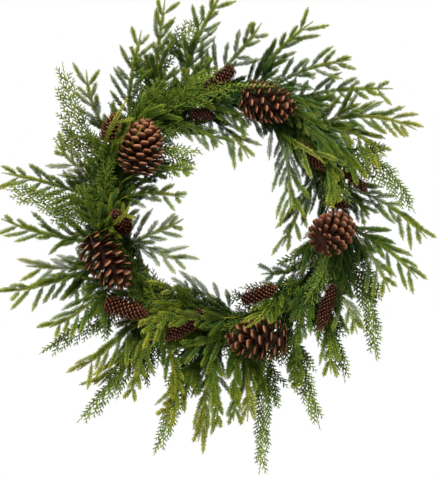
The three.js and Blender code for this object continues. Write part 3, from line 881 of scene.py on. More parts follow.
@dataclass
class Twig:
    """A line of a spray, with how thick, leafy and fresh it is along its length."""

    points: list[Point]
    thick: Callable[[float], float]
    needle: Callable[[float], float]
    fresh: Callable[[float], float]
    tint: float
    flat: Point


def polylines_mesh(lines: Sequence[Twig]) -> Mesh:
    """A mesh of bare edges along twigs, with what grows on them as attributes of its points.

    Args:
        lines: the twigs.

    Returns:
        The mesh, in metres.
    """
    mesh = bpy.data.meshes.new("twigs")
    points, edges = [], []
    columns: dict[str, list] = {"thick": [], "needle": [], "fresh": [], "tint": [], "along": [], "flat": []}
    for line in lines:
        first, last = len(points), len(line.points) - 1
        for i, point in enumerate(line.points):
            share = i / last
            points.append(tuple(hung(point)))
            row = (line.thick(share) * MM, line.needle(share), line.fresh(share), line.tint, share, line.flat)
            for column, value in zip(columns.values(), row):
                column.append(value)
        edges += [(first + i, first + i + 1) for i in range(last)]
    mesh.from_pydata(points, edges, [])
    for name, values in columns.items():
        kind, key = ("FLOAT_VECTOR", "vector") if name == "flat" else ("FLOAT", "value")
        attribute = mesh.attributes.new(name, kind, "POINT")
        attribute.data.foreach_set(key, np.array(values, np.float32).ravel())
    return mesh


@dataclass(frozen=True)
class Row:
    """A row of needles along a twig: degrees round it, share of full length, and degrees on their axes."""

    turn: float
    reach: float
    roll: float = 0.0


NEEDLE_ROWS = (Row(0, 1, -66), Row(180, 1, 66), Row(245, 0.95, -20), Row(295, 0.95, 20), Row(90, 0.85))


def leaned(points: Sequence[Triple], lean: float, row: Row) -> list[Triple]:
    """Points up +Z turned on that axis, leaned out towards +X and then turned round +Z.

    Args:
        points: the points.
        lean: degrees out from +Z.
        row: how they are turned and scaled.

    Returns:
        The moved points.
    """
    angles = ((row.turn, "Z"), (lean, "Y"), (row.roll, "Z"))
    matrix = Matrix.Identity(3)
    for angle, axis in angles:
        matrix = matrix @ Matrix.Rotation(math.radians(angle), 3, axis)
    return [tuple(matrix @ Vector(point) * row.reach) for point in points]


def marked(mesh: Mesh, name: str, values: Sequence[float]) -> Object:
    """An object of a mesh whose points carry a named number.

    Args:
        mesh: the mesh, whose name the object takes.
        name: of the number.
        values: one for each point.

    Returns:
        The object, not yet in the scene.
    """
    attribute = mesh.attributes.new(name, "FLOAT", "POINT")
    attribute.data.foreach_set("value", values)
    return bpy.data.objects.new(mesh.name, mesh)


@dataclass(frozen=True)
class Whorl:
    """A whorl of keeled needles of length 1 round +Z, each widest past its middle."""

    half_width: float
    lean: float  # degrees that the needles lean out
    keel: float = 0.5  # height of a needle's keel at its root, in half widths
    sink: float = 0.4  # how far its edges lie below, in heights of the keel
    widest: float = 0.55  # share of the length
    edge_mark: float = 0.65  # of its tip's mark, at its edges

    def mesh(self, name: str) -> Object:
        """The whorl, with its tips marked.

        Args:
            name: the object's name.

        Returns:
            The object.
        """
        mesh = bpy.data.meshes.new(name)
        keel = self.half_width * self.keel
        left, right = [(-keel * self.sink, half, self.widest) for half in (-self.half_width, self.half_width)]
        points, faces = [], []
        for row in NEEDLE_ROWS:
            first = len(points)
            points += leaned([(keel, 0, 0), left, right, (0, 0, 1)], self.lean, row)
            faces += [(first, first + 3, first + 1), (first, first + 2, first + 3)]
        mesh.from_pydata(points, [], faces)
        return marked(mesh, "tip", [0.0, self.edge_mark, self.edge_mark, 1.0] * len(NEEDLE_ROWS))


@dataclass(frozen=True)
class Spur:
    """A blunt three-sided spur of length 1, open where it is sunk in its twig."""

    half_width: float
    lean: float  # degrees that it leans out
    rings: tuple[Triple, ...] = ((0.0, 0.75, 0.0), (0.62, 1.0, 0.7))  # height, width, mark

    def mesh(self, name: str) -> Object:
        """The spur, with its tip marked.

        Args:
            name: the object's name.

        Returns:
            The object.
        """
        mesh = bpy.data.meshes.new(name)
        points, tips = [], []
        for height, wide, share in self.rings:
            for k in range(SIDES):
                angle = 2 * math.pi * k / SIDES
                half = self.half_width * wide
                points.append((half * math.cos(angle), half * math.sin(angle), height))
                tips.append(share)
        faces = [(k, (k + 1) % SIDES, SIDES + (k + 1) % SIDES, SIDES + k) for k in range(SIDES)]
        faces += [(SIDES + k, SIDES + (k + 1) % SIDES, 2 * SIDES) for k in range(SIDES)]
        mesh.from_pydata(leaned([*points, (0, 0, 1)], self.lean, Row(0, 1)), [], faces)
        return marked(mesh, "tip", [*tips, 1.0])


@dataclass(frozen=True)
class Clothing:
    """What covers the twigs of one kind of spray: a repeated blade, its spacing and its spread."""

    name: str
    blade: Whorl | Spur
    roll: float  # degrees round the twig from one blade to the next
    spacing: float
    length: float
    tip_spread: float  # share of the blades' width and lean that is left at a twig's tip
    stray: float = 9.0  # degrees that a blade strays round its twig
    variety: float = 0.1  # share by which blades differ in length and width
    narrower: Ramp = (0.75, 1.0, 0.0, 1.0)  # how far the tip's spread holds, along the twig
    shorter: Ramp = (0.8, 1.0, 1.0, 0.7)  # the blades' length, along the twig
    least: float = 0.05  # twigs less leafy than this bear none
    other_shade: float = 0.6  # how much brighter every other blade is: painted light and shade for lit needles and shaded gaps
    stray_shade: float = 0.2  # and how much each strays

    def tree(self) -> Tree:
        """Geometry Nodes that clothe a spray's twigs, which carry what polylines_mesh gives them.

        Returns:
            The tree. What it makes carries tip, -1 on wood and 0 to 1 along a blade, and each blade's shade,
            a brightness that is painted light and shade from blade to blade and strays at random.
        """
        g, given = geometry_tree(
            self.name,
            [
                Input("Blade", THING),
                Input("Spacing", FLOAT, 0.0004),
                Input("Length", FLOAT, 0.009),
                Input("Tip Spread", FLOAT, 0.5),
                Input("Seed", WHOLE, 1),
                Input("Material", FINISH),
            ],
        )
        curve = g.add("GeometryNodeMeshToCurve", {"Mesh": given.outputs["Geometry"]}).outputs[0]
        row = g.add(
            "GeometryNodeCurveToPoints", {"Curve": curve, "Length": given.outputs["Spacing"]}, mode="LENGTH"
        )
        index = g.add("GeometryNodeInputIndex").outputs[0]
        along, leafy = g.named("along"), g.named("needle")
        stray = g.stray(index, given.outputs["Seed"])
        varied = g.times(stray, self.variety)

        size = g.times(g.times(leafy, given.outputs["Length"]), g.plus(1.0, varied))
        size = g.times(size, g.ramp(along, *self.shorter))
        narrowing = g.times(g.ramp(along, *self.narrower), g.minus(given.outputs["Tip Spread"], 1.0))
        wide = g.times(size, g.plus(g.plus(1.0, narrowing), varied))
        selected = g.add(
            "FunctionNodeCompare", {0: leafy, 1: self.least}, data_type="FLOAT", operation="GREATER_THAN"
        )
        blades = g.add(
            "GeometryNodeInstanceOnPoints",
            {
                "Points": row.outputs["Points"],
                "Selection": selected.outputs[0],
                "Instance": g.shape(given.outputs["Blade"]),
                "Rotation": self.facing(g, row.outputs["Tangent"], index, stray),
                "Scale": g.vector(wide, wide, size),
            },
        ).outputs[0]
        # Every other blade brighter, as painted light and shade; the stray is a random tone.
        other = g.times(g.math("MODULO", index, 2.0), self.other_shade)
        shade = g.plus(other, g.times(g.plus(stray, 1.0), self.stray_shade))
        ring = g.add("GeometryNodeCurvePrimitiveCircle", {"Resolution": SIDES, "Radius": 1.0}).outputs[0]
        wood = g.add(
            "GeometryNodeCurveToMesh",
            {"Curve": curve, "Profile Curve": ring, "Scale": g.named("thick"), "Fill Caps": True},
        ).outputs[0]
        clothed = g.join(g.store(blades, "shade", shade, "INSTANCE"), g.store(wood, "tip", -1.0, "POINT"))
        g.finish(clothed, given.outputs["Material"])
        return g.tree

    def make(self, material: Material) -> tuple[Tree, dict[str, object]]:
        """Makes the clothing ready for its sprays.

        Args:
            material: its finish.

        Returns:
            The tree, and its inputs but for the seed.
        """
        return self.tree(), {
            "Blade": self.blade.mesh(self.name + "_blade"),
            "Spacing": self.spacing * MM,
            "Length": self.length * MM,
            "Tip Spread": self.tip_spread,
            "Material": material,
        }

    def facing(self, g: GrowthGraph, tangent: object, index: object, stray: object) -> Socket:
        """How each blade is turned: along its twig, square to the spray's plane, and rolled on from the last.

        Args:
            g: the graph.
            tangent: the way along the twig.
            index: of the blade.
            stray: its own random number, -1 to 1.

        Returns:
            The rotation.
        """
        align = "FunctionNodeAlignRotationToVector"
        facing = g.add(align, {"Vector": tangent}, axis="Z").outputs[0]
        flat = g.named("flat", "FLOAT_VECTOR")
        facing = g.add(align, {"Rotation": facing, "Vector": flat}, axis="Y", pivot_axis="Z").outputs[0]
        turn = g.times(g.plus(g.times(index, self.roll), g.times(stray, self.stray)), DEGREE)
        rolled = g.add("FunctionNodeAxisAngleToRotation", {"Axis": (0, 0, 1), "Angle": turn}).outputs[0]
        return g.add("FunctionNodeRotateRotation", {0: facing, 1: rolled}, rotation_space="LOCAL").outputs[0]


PINE_CLOTHING = Clothing("pine_needles", Whorl(0.146, 45), roll=0.0, spacing=2.05, length=6.4, tip_spread=0.8)
CEDAR_CLOTHING = Clothing("cedar_spurs", Spur(0.17, 42), roll=180.0, spacing=3.4, length=8.2, tip_spread=0.7)

# ---- finishes

Colour = Triple  # red, green and blue, 0 to 1
MOTTLE: Ramp = (0.32, 0.68, 0.0, 1.0)  # the noise's contrast


def rgba(colour: Colour, strength: float = 1.0) -> tuple[float, float, float, float]:
    """A colour at a share of its strength, with full alpha."""
    return (*(part * strength for part in colour), 1.0)


def mottle_group() -> Tree:
    """Uneven colour: a mask of soft patches and fine specks, used by every finish of the wreath.

    Returns:
        The node group, whose sizes are in metres.
    """
    tree = bpy.data.node_groups.new("mottle", "ShaderNodeTree")
    sizes = (Input("Patch Size", FLOAT, 0.03), Input("Speck Size", FLOAT, 0.002))
    add_sockets(tree, sizes, "INPUT")
    add_sockets(tree, [Input("Patches", FLOAT), Input("Specks", FLOAT)], "OUTPUT")
    g = Graph(tree)
    given = g.add("NodeGroupInput")
    spot = g.add("ShaderNodeTexCoord").outputs["Object"]
    made = []
    for size, detail in zip(sizes, (2.0, 3.0)):
        scale = g.math("DIVIDE", 1.0, given.outputs[size.name])
        noise = g.add("ShaderNodeTexNoise", {"Vector": spot, "Scale": scale, "Detail": detail})
        made.append(g.ramp(noise.outputs["Fac"], *MOTTLE))
    g.add("NodeGroupOutput", {"Patches": made[0], "Specks": made[1]})
    return tree


class MaterialGraph(Graph):
    """A material's node tree, with its Principled shader and helpers for its colours."""

    def __init__(self, name: str, roughness: float, patch: float, speck: float, **shader: float) -> None:
        """Args:
        name: the material's name.
        roughness: set on the shader.
        patch: size in metres of its mottle's patches.
        speck: size in metres of its mottle's specks.
        shader: other values set on the shader, by socket name with underscores.
        """
        self.material = bpy.data.materials.new(name)
        self.material.use_nodes = True
        super().__init__(self.material.node_tree)
        self.shader = self.tree.nodes["Principled BSDF"]
        for key, value in {"Roughness": roughness, **shader}.items():
            self.shader.inputs[key.replace("_", " ")].default_value = value
        tree = bpy.data.node_groups.get("mottle") or mottle_group()
        mottle = self.add("ShaderNodeGroup", node_tree=tree)
        mottle.inputs["Patch Size"].default_value = patch
        mottle.inputs["Speck Size"].default_value = speck
        self.patches, self.specks = mottle.outputs["Patches"], mottle.outputs["Specks"]

    def blend(self, share: object, a: object, b: object, how: str = "MIX") -> Socket:
        """Two colours mixed by a share."""
        node = self.add("ShaderNodeMix", {0: share, 6: a, 7: b}, data_type="RGBA", blend_type=how)
        return node.outputs[2]

    def shaded(self, colour: object, by: object) -> Socket:
        """A colour multiplied by another."""
        return self.blend(1.0, colour, by, "MULTIPLY")

    def attribute(self, name: str) -> Socket:
        """A number carried by the mesh."""
        return self.add("ShaderNodeAttribute", attribute_name=name).outputs["Fac"]

    def dress_shader(self, **looks: object) -> None:
        """Feeds the Principled shader's inputs, by socket name with underscores."""
        for key, value in looks.items():
            self.feed(self.shader.inputs[key.replace("_", " ")], value)


@dataclass(frozen=True)
class FoliageFinish:
    """Green blades on olive twigs: each twig its own hue, blades pale at the tip, and painted shade at the
    blades' roots and on old growth deep in the wreath.
    """

    name: str
    blue: Colour  # the hues, from that of old and shaded growth to that of fresh growth
    green: Colour
    olive: Colour
    pale: Colour  # of the blades' tips
    bark: Colour
    roughness: float = 0.5
    polish: Ramp = (0.0, 1.0, -0.1, 0.12)  # change of the roughness, by specks
    gloss: float = 0.18
    patch: float = 0.03
    speck: float = 0.0025
    tint_share: float = 0.62  # of a blade's hue that its twig gives; its age gives the rest
    patch_hue: Ramp = (0.0, 1.0, -0.08, 0.08)  # change of the hue, by patches
    to_green: Ramp = (0.12, 0.5, 0.0, 1.0)  # by hue
    to_olive: Ramp = (0.5, 0.86, 0.0, 1.0)  # by hue
    # painted shade: multiplies the colour at a blade's root, where blades crowd round the twig
    root_shade: Colour = (0.32, 0.35, 0.24)
    from_root: Ramp = (0.1, 0.65, 0.0, 1.0)  # how the painted shade at a blade's root fades, by place along the blade
    pale_tip: Ramp = (0.3, 1.0, 0.15, 1.0)  # by place along a blade
    pale_growth: Ramp = (0.4, 1.0, 0.03, 0.95)  # by freshness
    brightness: Ramp = (0.0, 1.0, 0.42, 1.45)  # by each blade's shade: painted light and shade from blade to blade, and a random tone
    # painted shade: multiplies the colour of old growth, which lies deep in the wreath
    old_shade: Colour = (0.26, 0.32, 0.26)
    old_growth: Ramp = (0.05, 0.55, 0.85, 0.0)  # how far that painted shade takes hold, by freshness
    green_wood: Ramp = (0.0, 0.3, 0.1, 0.9)  # by freshness
    off_wood: Ramp = (-0.6, -0.2, 0.0, 1.0)  # from the wood's mark, -1, to a blade's, 0 or more

    def make(self) -> Material:
        """Builds the material.

        Returns:
            The material.
        """
        g = MaterialGraph(self.name, self.roughness, self.patch, self.speck, Specular_IOR_Level=self.gloss)
        tip, fresh, tint = g.attribute("tip"), g.attribute("fresh"), g.attribute("tint")
        hue = g.plus(g.times(tint, self.tint_share), g.times(fresh, 1 - self.tint_share))
        hue = g.plus(hue, g.ramp(g.patches, *self.patch_hue))
        leaf = g.blend(g.ramp(hue, *self.to_green), rgba(self.blue), rgba(self.green))
        leaf = g.blend(g.ramp(hue, *self.to_olive), leaf, rgba(self.olive))
        # Painted shade at each blade's root.
        leaf = g.blend(g.ramp(tip, *self.from_root), g.shaded(leaf, rgba(self.root_shade)), leaf)
        pale = g.times(g.ramp(tip, *self.pale_tip), g.ramp(fresh, *self.pale_growth))
        leaf = g.blend(pale, leaf, rgba(self.pale))
        bright = g.ramp(g.attribute("shade"), *self.brightness)
        leaf = g.shaded(leaf, g.vector(bright, bright, bright))
        # Painted shade on old growth deep in the wreath.
        leaf = g.blend(g.ramp(fresh, *self.old_growth), leaf, g.shaded(leaf, rgba(self.old_shade)))
        wood = g.blend(g.specks, rgba(self.bark), rgba(self.bark, 0.5))
        wood = g.blend(g.ramp(fresh, *self.green_wood), wood, rgba(self.olive))
        g.dress_shader(
            Base_Color=g.blend(g.ramp(tip, *self.off_wood), wood, leaf),
            Roughness=g.plus(g.ramp(g.specks, *self.polish), self.roughness),
        )
        return g.material


@dataclass(frozen=True)
class ConeFinish:
    """Dry scales: painted shade near black at their roots and on the core, red-brown along their length, and
    paler at their lips.
    """

    name: str
    # painted shade, near black, where the scales meet the core, and on the core and its tie, which carry no
    # lip
    inner: Colour
    scale: Colour
    lip: Colour
    roughness: float = 0.55
    polish: Ramp = (0.0, 1.0, -0.12, 0.15)  # change of the roughness, by specks
    gloss: float = 0.14
    patch: float = 0.012
    speck: float = 0.0009
    from_inner: Ramp = (0.44, 0.88, 0.0, 1.0)  # from the painted shade to the scale's colour, by place along a scale
    to_lip: Ramp = (0.72, 1.0, 0.0, 1.0)  # by place along a scale
    lip_tint: Ramp = (0.0, 1.0, 0.45, 1.0)  # by each scale's tint
    worn: Pair = (0.35, 0.45)  # how far specks show, and how dark they are
    stained: Pair = (0.3, 0.6)  # the same of patches
    grain: Pair = (0.35, 0.0004)  # strength and depth in metres of the rough surface

    def make(self) -> Material:
        """Builds the material.

        Returns:
            The material.
        """
        g = MaterialGraph(self.name, self.roughness, self.patch, self.speck, Specular_IOR_Level=self.gloss)
        lip, tint = g.attribute("lip"), g.attribute("tint")
        # Painted shade at the scales' roots, giving way to their red-brown.
        body = g.blend(g.ramp(lip, *self.from_inner), rgba(self.inner), rgba(self.scale))
        body = g.blend(g.times(g.ramp(lip, *self.to_lip), g.ramp(tint, *self.lip_tint)), body, rgba(self.lip))
        for mask, (share, strength) in ((g.specks, self.worn), (g.patches, self.stained)):
            body = g.blend(g.times(mask, share), body, rgba(self.scale, strength))
        grain = dict(zip(("Strength", "Distance"), self.grain))
        g.dress_shader(
            Base_Color=body,
            Roughness=g.plus(g.ramp(g.specks, *self.polish), self.roughness),
            Normal=g.add("ShaderNodeBump", {"Height": g.specks, **grain}).outputs[0],
        )
        return g.material


@dataclass(frozen=True)
class WireFinish:
    """Dark green enamel on wire, worn thin in places."""

    name: str
    enamel: Colour
    steel: Colour
    roughness: float = 0.38
    polish: Ramp = (0.0, 1.0, -0.08, 0.14)  # change of the roughness, by patches
    patch: float = 0.01
    speck: float = 0.0012
    worn: Ramp = (0.86, 1.0, 0.0, 0.7)  # how far the steel shows, by specks

    def make(self) -> Material:
        """Builds the material.

        Returns:
            The material.
        """
        g = MaterialGraph(self.name, self.roughness, self.patch, self.speck)
        worn = g.ramp(g.specks, *self.worn)
        g.dress_shader(
            Base_Color=g.blend(worn, rgba(self.enamel), rgba(self.steel)),
            Metallic=worn,
            Roughness=g.plus(g.ramp(g.patches, *self.polish), self.roughness),
        )
        return g.material


PINE_FINISH = FoliageFinish(
    "pine_foliage",
    blue=(0.024, 0.08, 0.016),
    green=(0.1, 0.185, 0.012),
    olive=(0.235, 0.252, 0.016),
    pale=(0.48, 0.44, 0.06),
    bark=(0.03, 0.032, 0.008),
)
CEDAR_FINISH = FoliageFinish(
    "cedar_foliage",
    blue=(0.03, 0.08, 0.014),
    green=(0.1, 0.19, 0.016),
    olive=(0.22, 0.25, 0.02),
    pale=(0.33, 0.36, 0.06),
    bark=(0.04, 0.03, 0.012),
)
# The first colour of each cone finish is painted shade at the scales' roots.
OPEN_FINISH = ConeFinish("open_cone", (0.004, 0.001, 0.0005), (0.13, 0.036, 0.013), (0.46, 0.22, 0.11))
CLOSED_FINISH = ConeFinish("closed_cone", (0.004, 0.001, 0.0005), (0.066, 0.014, 0.005), (0.54, 0.21, 0.095))
WIRE_FINISH = WireFinish("frame_wire", (0.012, 0.03, 0.012), (0.35, 0.35, 0.33))

# ---- what the growth covers

FOLIAGE_FRONT = 96.5  # how far forward and back the finished growth may reach
FOLIAGE_BACK = 7.0
STEM_POINTS, SHOOT_POINTS, TWIG_POINTS = 18, 6, 3
LAST_SHOOT = 0.97  # place of the last shoot, as a share of its stem
FORK_BARE, SIDE_BARE, EXTRA_BARE = 0.12, 0.1, 0.3  # share of a stem without shoots
FILL_LEAD = 25  # degrees from a spray's place to the part of the frame that its filling stems cover
LEAST_OUTER = 40  # an outward cover below this has no stem
INNER_START, OUTER_START = 0.45, 0.6  # share of a reach from which its filling stem's tip may lie
INNER_DEPTH, OUTER_DEPTH = (8, 40), (4, 40)  # least and greatest depth of that tip
SIDE_GROWTH, EXTRA_GROWTH = (0.8, 0.8), (0.8, 0.7)  # age and size of what side and extra stems bear
FILL_SIZE = 0.8
BLADE_START, BLADE_GROWTH, BLADE_TAPER = 0.65, 2, 0.75  # how long blades start, grow and then taper

# How far the filling stems reach in and out from the frame at each clock position.
INNER_REACH = (
    *((0, 2), (45, 14), (80, 50), (105, 86), (130, 36), (155, 74), (175, 60)),
    *((190, 34), (225, 32), (260, 34), (285, 66), (315, 72), (340, 38)),
)
OUTER_REACH = ((0, 0), (195, 0), (235, 70), (300, 85), (330, 60), (350, 0))

# Stems that some sprays have beyond those of their solids, from the same winding.
EXTRA_GOALS = {
    "pine_spray_05": (Goal(174, 2, -102, 72),),
    "pine_spray_14": (Goal(60, -300, -92, 8), Goal(18, -334, -98, 46), Goal(-122, -180, -165, 84)),
    "pine_spray_15": (Goal(-8, -346, -94, 30),),
    "pine_spray_18": (Goal(-78, -306, -112, 40), Goal(-150, -300, -122, 20)),
    "pine_spray_10": (Goal(118, -290, -84, 34),),
    "pine_spray_24": (Goal(-60, 16, -16, 44),),
    "pine_spray_25": (Goal(-46, 53, -26, 46),),
    "cedar_spray_26": (Goal(-30, 84, -20, 40),),
    "cedar_spray_29": (Goal(80, 186, -6, 86), Goal(0, 214, 22, 72)),
    "pine_spray_38": (Goal(-126, 122, 66, 86),),
    "pine_spray_32": (Goal(38, 122, -64, 34),),
    "cedar_spray_11": (Goal(96, -122, 190, 38),),
}

# Of each spray, from 0 for blue green to 1 for olive.
HUES = (
    (0.25, 0.2, 0.3, 0.5, 0.7, 0.25, 0.4, 0.45, 0.35, 0.4)
    + (0.3, 0.35, 0.4, 0.6, 0.75, 0.35, 0.4, 0.75, 0.3, 0.5)
    + (0.55, 0.5, 0.6, 0.5, 0.65, 0.8, 0.5, 0.35, 0.45, 0.5)
    + (0.3, 0.3, 0.3, 0.45, 0.55, 0.5, 0.5, 0.6, 0.5, 0.3)
    + (0.55, 0.75, 0.6)
)

# Foliage may hang in front of these.
HIDDEN_CONES = ("closed_pinecone_3", "closed_pinecone_5", "closed_pinecone_6")

# ---- the sprays


def dress(piece: Object, node: str) -> None:
    """Attaches a finished piece to the root body, and hides the solid that it replaces.

    Args:
        piece: the finished piece.
        node: the solid that it replaces.
    """
    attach(piece, "root")
    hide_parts(node)


def tip_taper(share: float, start: float) -> float:
    """1 until a share of the length, and then less, to just over half at the tip."""
    return 1.0 if share < start else 1.0 - 0.42 * ((share - start) / (1 - start)) ** 1.5


@dataclass
class Rooms:
    """The spaces that growth keeps clear of: things alone, or the sight of the pinecones too."""

    things: Space
    views: Space


@dataclass
class Line:
    """A stem or shoot to be: its curve, the way out of its plane, and how fresh it is from root to tip."""

    curve: Bezier
    flat: Point
    fresh: Pair

    def blade_length(self, s: float, bare: float) -> float:
        """How long its blades are at a share of its length, as a share of the greatest."""
        grown = min(1.0, BLADE_START + (s - bare) * BLADE_GROWTH)
        return 0.0 if s < bare else grown * tip_taper(s, BLADE_TAPER)

    def twig(self, radius: Pair, bare: float, tint: float, points: int) -> Twig:
        """The line as a twig, whose blades get longer from where they start and shorter again at the tip.

        Args:
            radius: at the root and the tip.
            bare: share of its length before the blades start.
            tint: its hue.
            points: how many points it has.

        Returns:
            The twig.
        """
        return Twig(
            [self.curve.at(k / (points - 1)) for k in range(points)],
            lambda s: mix(*radius, s),
            lambda s: self.blade_length(s, bare),
            lambda s: mix(*self.fresh, s),
            tint,
            self.flat,
        )


@dataclass(frozen=True)
class ShootShape:
    """How a side shoot bends, in shares of its length but for the weights."""

    half: float = 0.5  # where it starts to curve
    onward: float = 0.36  # how far its second half runs the way it left
    forward: float = 0.17  # and how far the way of its stem
    sway: float = 0.13  # greatest, to either side
    sag: Pair = (0.02, 0.08)  # least and greatest
    heavy_sag: float = 0.14  # more sag on stems that don't rise
    droop: float = 0.34  # how far shoots of such stems lean down
    rising: float = 0.5  # upward share of a stem's direction above which nothing droops
    weight_span: float = 1.5  # change of that share from no weight to full weight


@dataclass
class Bearer:
    """A stem that shoots grow on: what they keep clear of, how fresh its tip is, 0 to 1, and their size."""

    space: Space
    curve: Bezier
    age: float
    size: float


@dataclass
class Spray:
    """One spray, wired to the frame: stems wound round the wire, and the shoots on them."""

    name: str
    plan: SprayPlan
    stems: list[Stem]
    jitter: random.Random
    hue: float  # from 0 for blue green to 1 for olive
    hue_stray: float = 0.2
    old_hue: float = 0.3  # how much bluer the oldest twigs are
    shape: ShootShape = ShootShape()
    blade_room: float = 0.45  # kept clear round a shoot, in lengths of the solid's needles
    tip_room: float = 0.6  # share of that at its tip
    room_from: float = 0.4  # share of a shoot from which that is tested
    wobble: float = 7.0  # degrees that a shoot's tilt strays
    wobble_turn: float = 0.6  # share of that by which its angle strays
    branch_shares: tuple[float, ...] = (0.14, 0.3)  # places of side branches along a stem
    branch_angle: float = 30
    branch_lengths: Pair = (0.3, 0.4)  # least and greatest, as shares of the stem beyond
    least_branch: float = 45.0
    fill_tries: int = 24
    fill_reach: Pair = (85, 125)  # how far clockwise along the frame a filling stem ends
    fill_room: float = 4.0  # radius kept clear round it
    fill_steps: int = 6  # lengths of it that are tested
    fill_leaves: Pair = (0.5, 90)  # how far to the front it starts, and how far off its tip turns it fully
    fill_ends: Pair = (0.1, 110)  # how far to the back it ends, and the same
    fill_ages: Triple = (56, 0.12, 0.7)  # depth of a wholly fresh one, and the least and greatest age; the lower age of deeper ones paints them with shade
    # Of each filling stem's tip, least and greatest: how far outside the frame, and how far in front of it.
    fill_places: tuple[tuple[float, ...], ...] = (
        (-10, 22, 16, 58),
        (14, 50, 16, 58),
        (-5, 45, 7, 24),
        (-30, 10, 4, 16),
    )
    leader: float = 26.0  # length of a stem's end without shoots
    least_rows: int = 2  # of shoots on a stem
    stem_radii: Pair = (1.3, 0.6)
    shoot_radii: Pair = (0.95, 0.6)
    shoot_bare: float = 0.04  # share of a shoot without blades
    freshness: Triple = (0.4, 0.75, 0.4)  # of a shoot's root and tip, and what its stem's age adds to the tip

    @property
    def habit(self) -> Habit:
        """How its kind grows."""
        return HABITS[self.plan.leaf]

    def tint(self, age: float) -> float:
        """A hue for a twig, near that of the whole spray and bluer where it is old."""
        stray = self.jitter.uniform(-self.hue_stray, self.hue_stray)
        return min(max(self.hue - self.old_hue * (1 - age) + stray, 0), 1)

    def shoot(self, root: Point, along: Point, hand: int, tilt: float, angle: float, length: float) -> Line:
        """A side shoot that curves forward, along the way that its stem runs.

        Args:
            root: where it starts.
            along: the way of its stem there.
            hand: 1 or -1, for its side.
            tilt: degrees that it leaves towards the front.
            angle: degrees between it and its stem.
            length: its length before it curves.

        Returns:
            Its line, whose freshness is still to be set.
        """
        shape = self.shape
        side = unit(np.cross(along, FORWARD))
        front = unit(np.cross(side, along))
        sideways = side * hand * math.cos(math.radians(tilt)) + front * math.sin(math.radians(tilt))
        leaving = along * math.cos(math.radians(angle)) + sideways * math.sin(math.radians(angle))
        weight = min(max((shape.rising - float(along[2])) / shape.weight_span, 0), 1)
        leaving = unit(leaving + vec(0, 0, -shape.droop) * weight)
        flat = unit(np.cross(leaving, sideways - leaving * sideways.dot(leaving))) * hand
        sway = np.cross(flat, leaving) * self.jitter.uniform(-shape.sway, shape.sway)
        least, most = shape.sag
        sway = sway + vec(0, 0, -1) * self.jitter.uniform(least, most + shape.heavy_sag * weight)
        middle = root + leaving * length * shape.half
        tip = middle + (leaving * shape.onward + along * shape.forward + sway) * length
        return Line(Bezier(root, middle, tip), flat, (0, 1))

    def clear_shoot(self, stem: Bearer, at: float, hand: int, angle: float, length: float) -> Line | None:
        """A side shoot that keeps its blades out of what is there, turned or shortened where it has to be.

        Args:
            stem: what it grows on.
            at: its place, as a share of the stem.
            hand: 1 or -1, for its side.
            angle: degrees between it and its stem.
            length: its length, where there is room.

        Returns:
            Its line, or None where no way is clear.
        """
        root, along = stem.curve.at(at), stem.curve.tangent(at)
        room = self.habit.needle_length * self.blade_room
        for shorter in SHOOT_LENGTHS:
            for turn in SHOOT_TURNS:
                for tilt in SHOOT_TILTS:
                    wobble = self.jitter.uniform(-self.wobble, self.wobble)
                    turned = angle + turn + wobble * self.wobble_turn
                    line = self.shoot(root, along, hand, tilt + wobble, turned, length * shorter)
                    rows = [(line.curve.at(self.room_from), line.curve.at(1), room, room * self.tip_room)]
                    if stem.space.is_clear("", rows):
                        return line
        return None

    def shoot_twig(self, line: Line, age: float, at: float) -> Twig:
        """A side shoot's line as a twig, fresher the nearer it is to its stem's tip and its own.

        Args:
            line: the line, which keeps its freshness.
            age: how fresh its stem is at the tip.
            at: its place, as a share of the stem.

        Returns:
            The twig.
        """
        old = age * (0.1 + 0.9 * at**1.5)
        root, tip, more = self.freshness
        line.fresh = (old * root, min(1.0, old * tip + more * age))
        return line.twig(self.shoot_radii, self.shoot_bare, self.tint(age), SHOOT_POINTS)

    def flat_of(self, curve: Bezier) -> Point:
        """The way out of the plane that a stem's shoots lie in."""
        facing = curve.tangent(0.6)
        return unit(np.cross(facing, np.cross(facing, FORWARD)))

    def fills(self, space: Space) -> Iterator[tuple[Bezier, float]]:
        """Shorter stems from the same winding, which cover the frame between the long ones.

        Args:
            space: what they keep clear of.

        Returns:
            Their curves and ages, lower the deeper they lie, which darkens deep ones with painted shade.
        """
        out, clockwise, _ = frame_at(self.plan.at)
        start, draw, middle = self.stems[0].wound[0], self.jitter, self.plan.at - FILL_LEAD
        inward, outer = (float(np.interp(middle, *zip(*it), period=360)) for it in (INNER_REACH, OUTER_REACH))
        places = [*self.fill_places, (-inward, -inward * INNER_START, *INNER_DEPTH)]
        if outer > LEAST_OUTER:
            places.append((outer * OUTER_START, outer, *OUTER_DEPTH))
        for low, high, near, far in places:
            for _ in range(self.fill_tries):
                away, depth = draw.uniform(low, high), draw.uniform(near, far)
                turned = math.radians(self.plan.at) - draw.uniform(*self.fill_reach) / FRAME_RADIUS
                outward = vec(math.cos(turned), 0, math.sin(turned))
                tip = outward * (FRAME_RADIUS + away) + FORWARD * depth
                way = vec(math.sin(turned), self.fill_ends[0], -math.cos(turned))
                way = unit(way + outward * away / self.fill_ends[1])
                reach = float(np.linalg.norm(tip - start)) * STEM_REACH
                heading = unit(clockwise + FORWARD * self.fill_leaves[0] + out * away / self.fill_leaves[1])
                curve = Bezier(start, start + heading * reach, tip - way * reach, tip)
                spots = [curve.at((k + 1) / self.fill_steps) for k in range(self.fill_steps)]
                rows = [(a, b, self.fill_room, self.fill_room) for a, b in zip(spots, spots[1:])]
                if space.is_clear("", rows):
                    fresh, least, most = self.fill_ages
                    yield curve, min(max(depth / fresh, least), most)
                    break

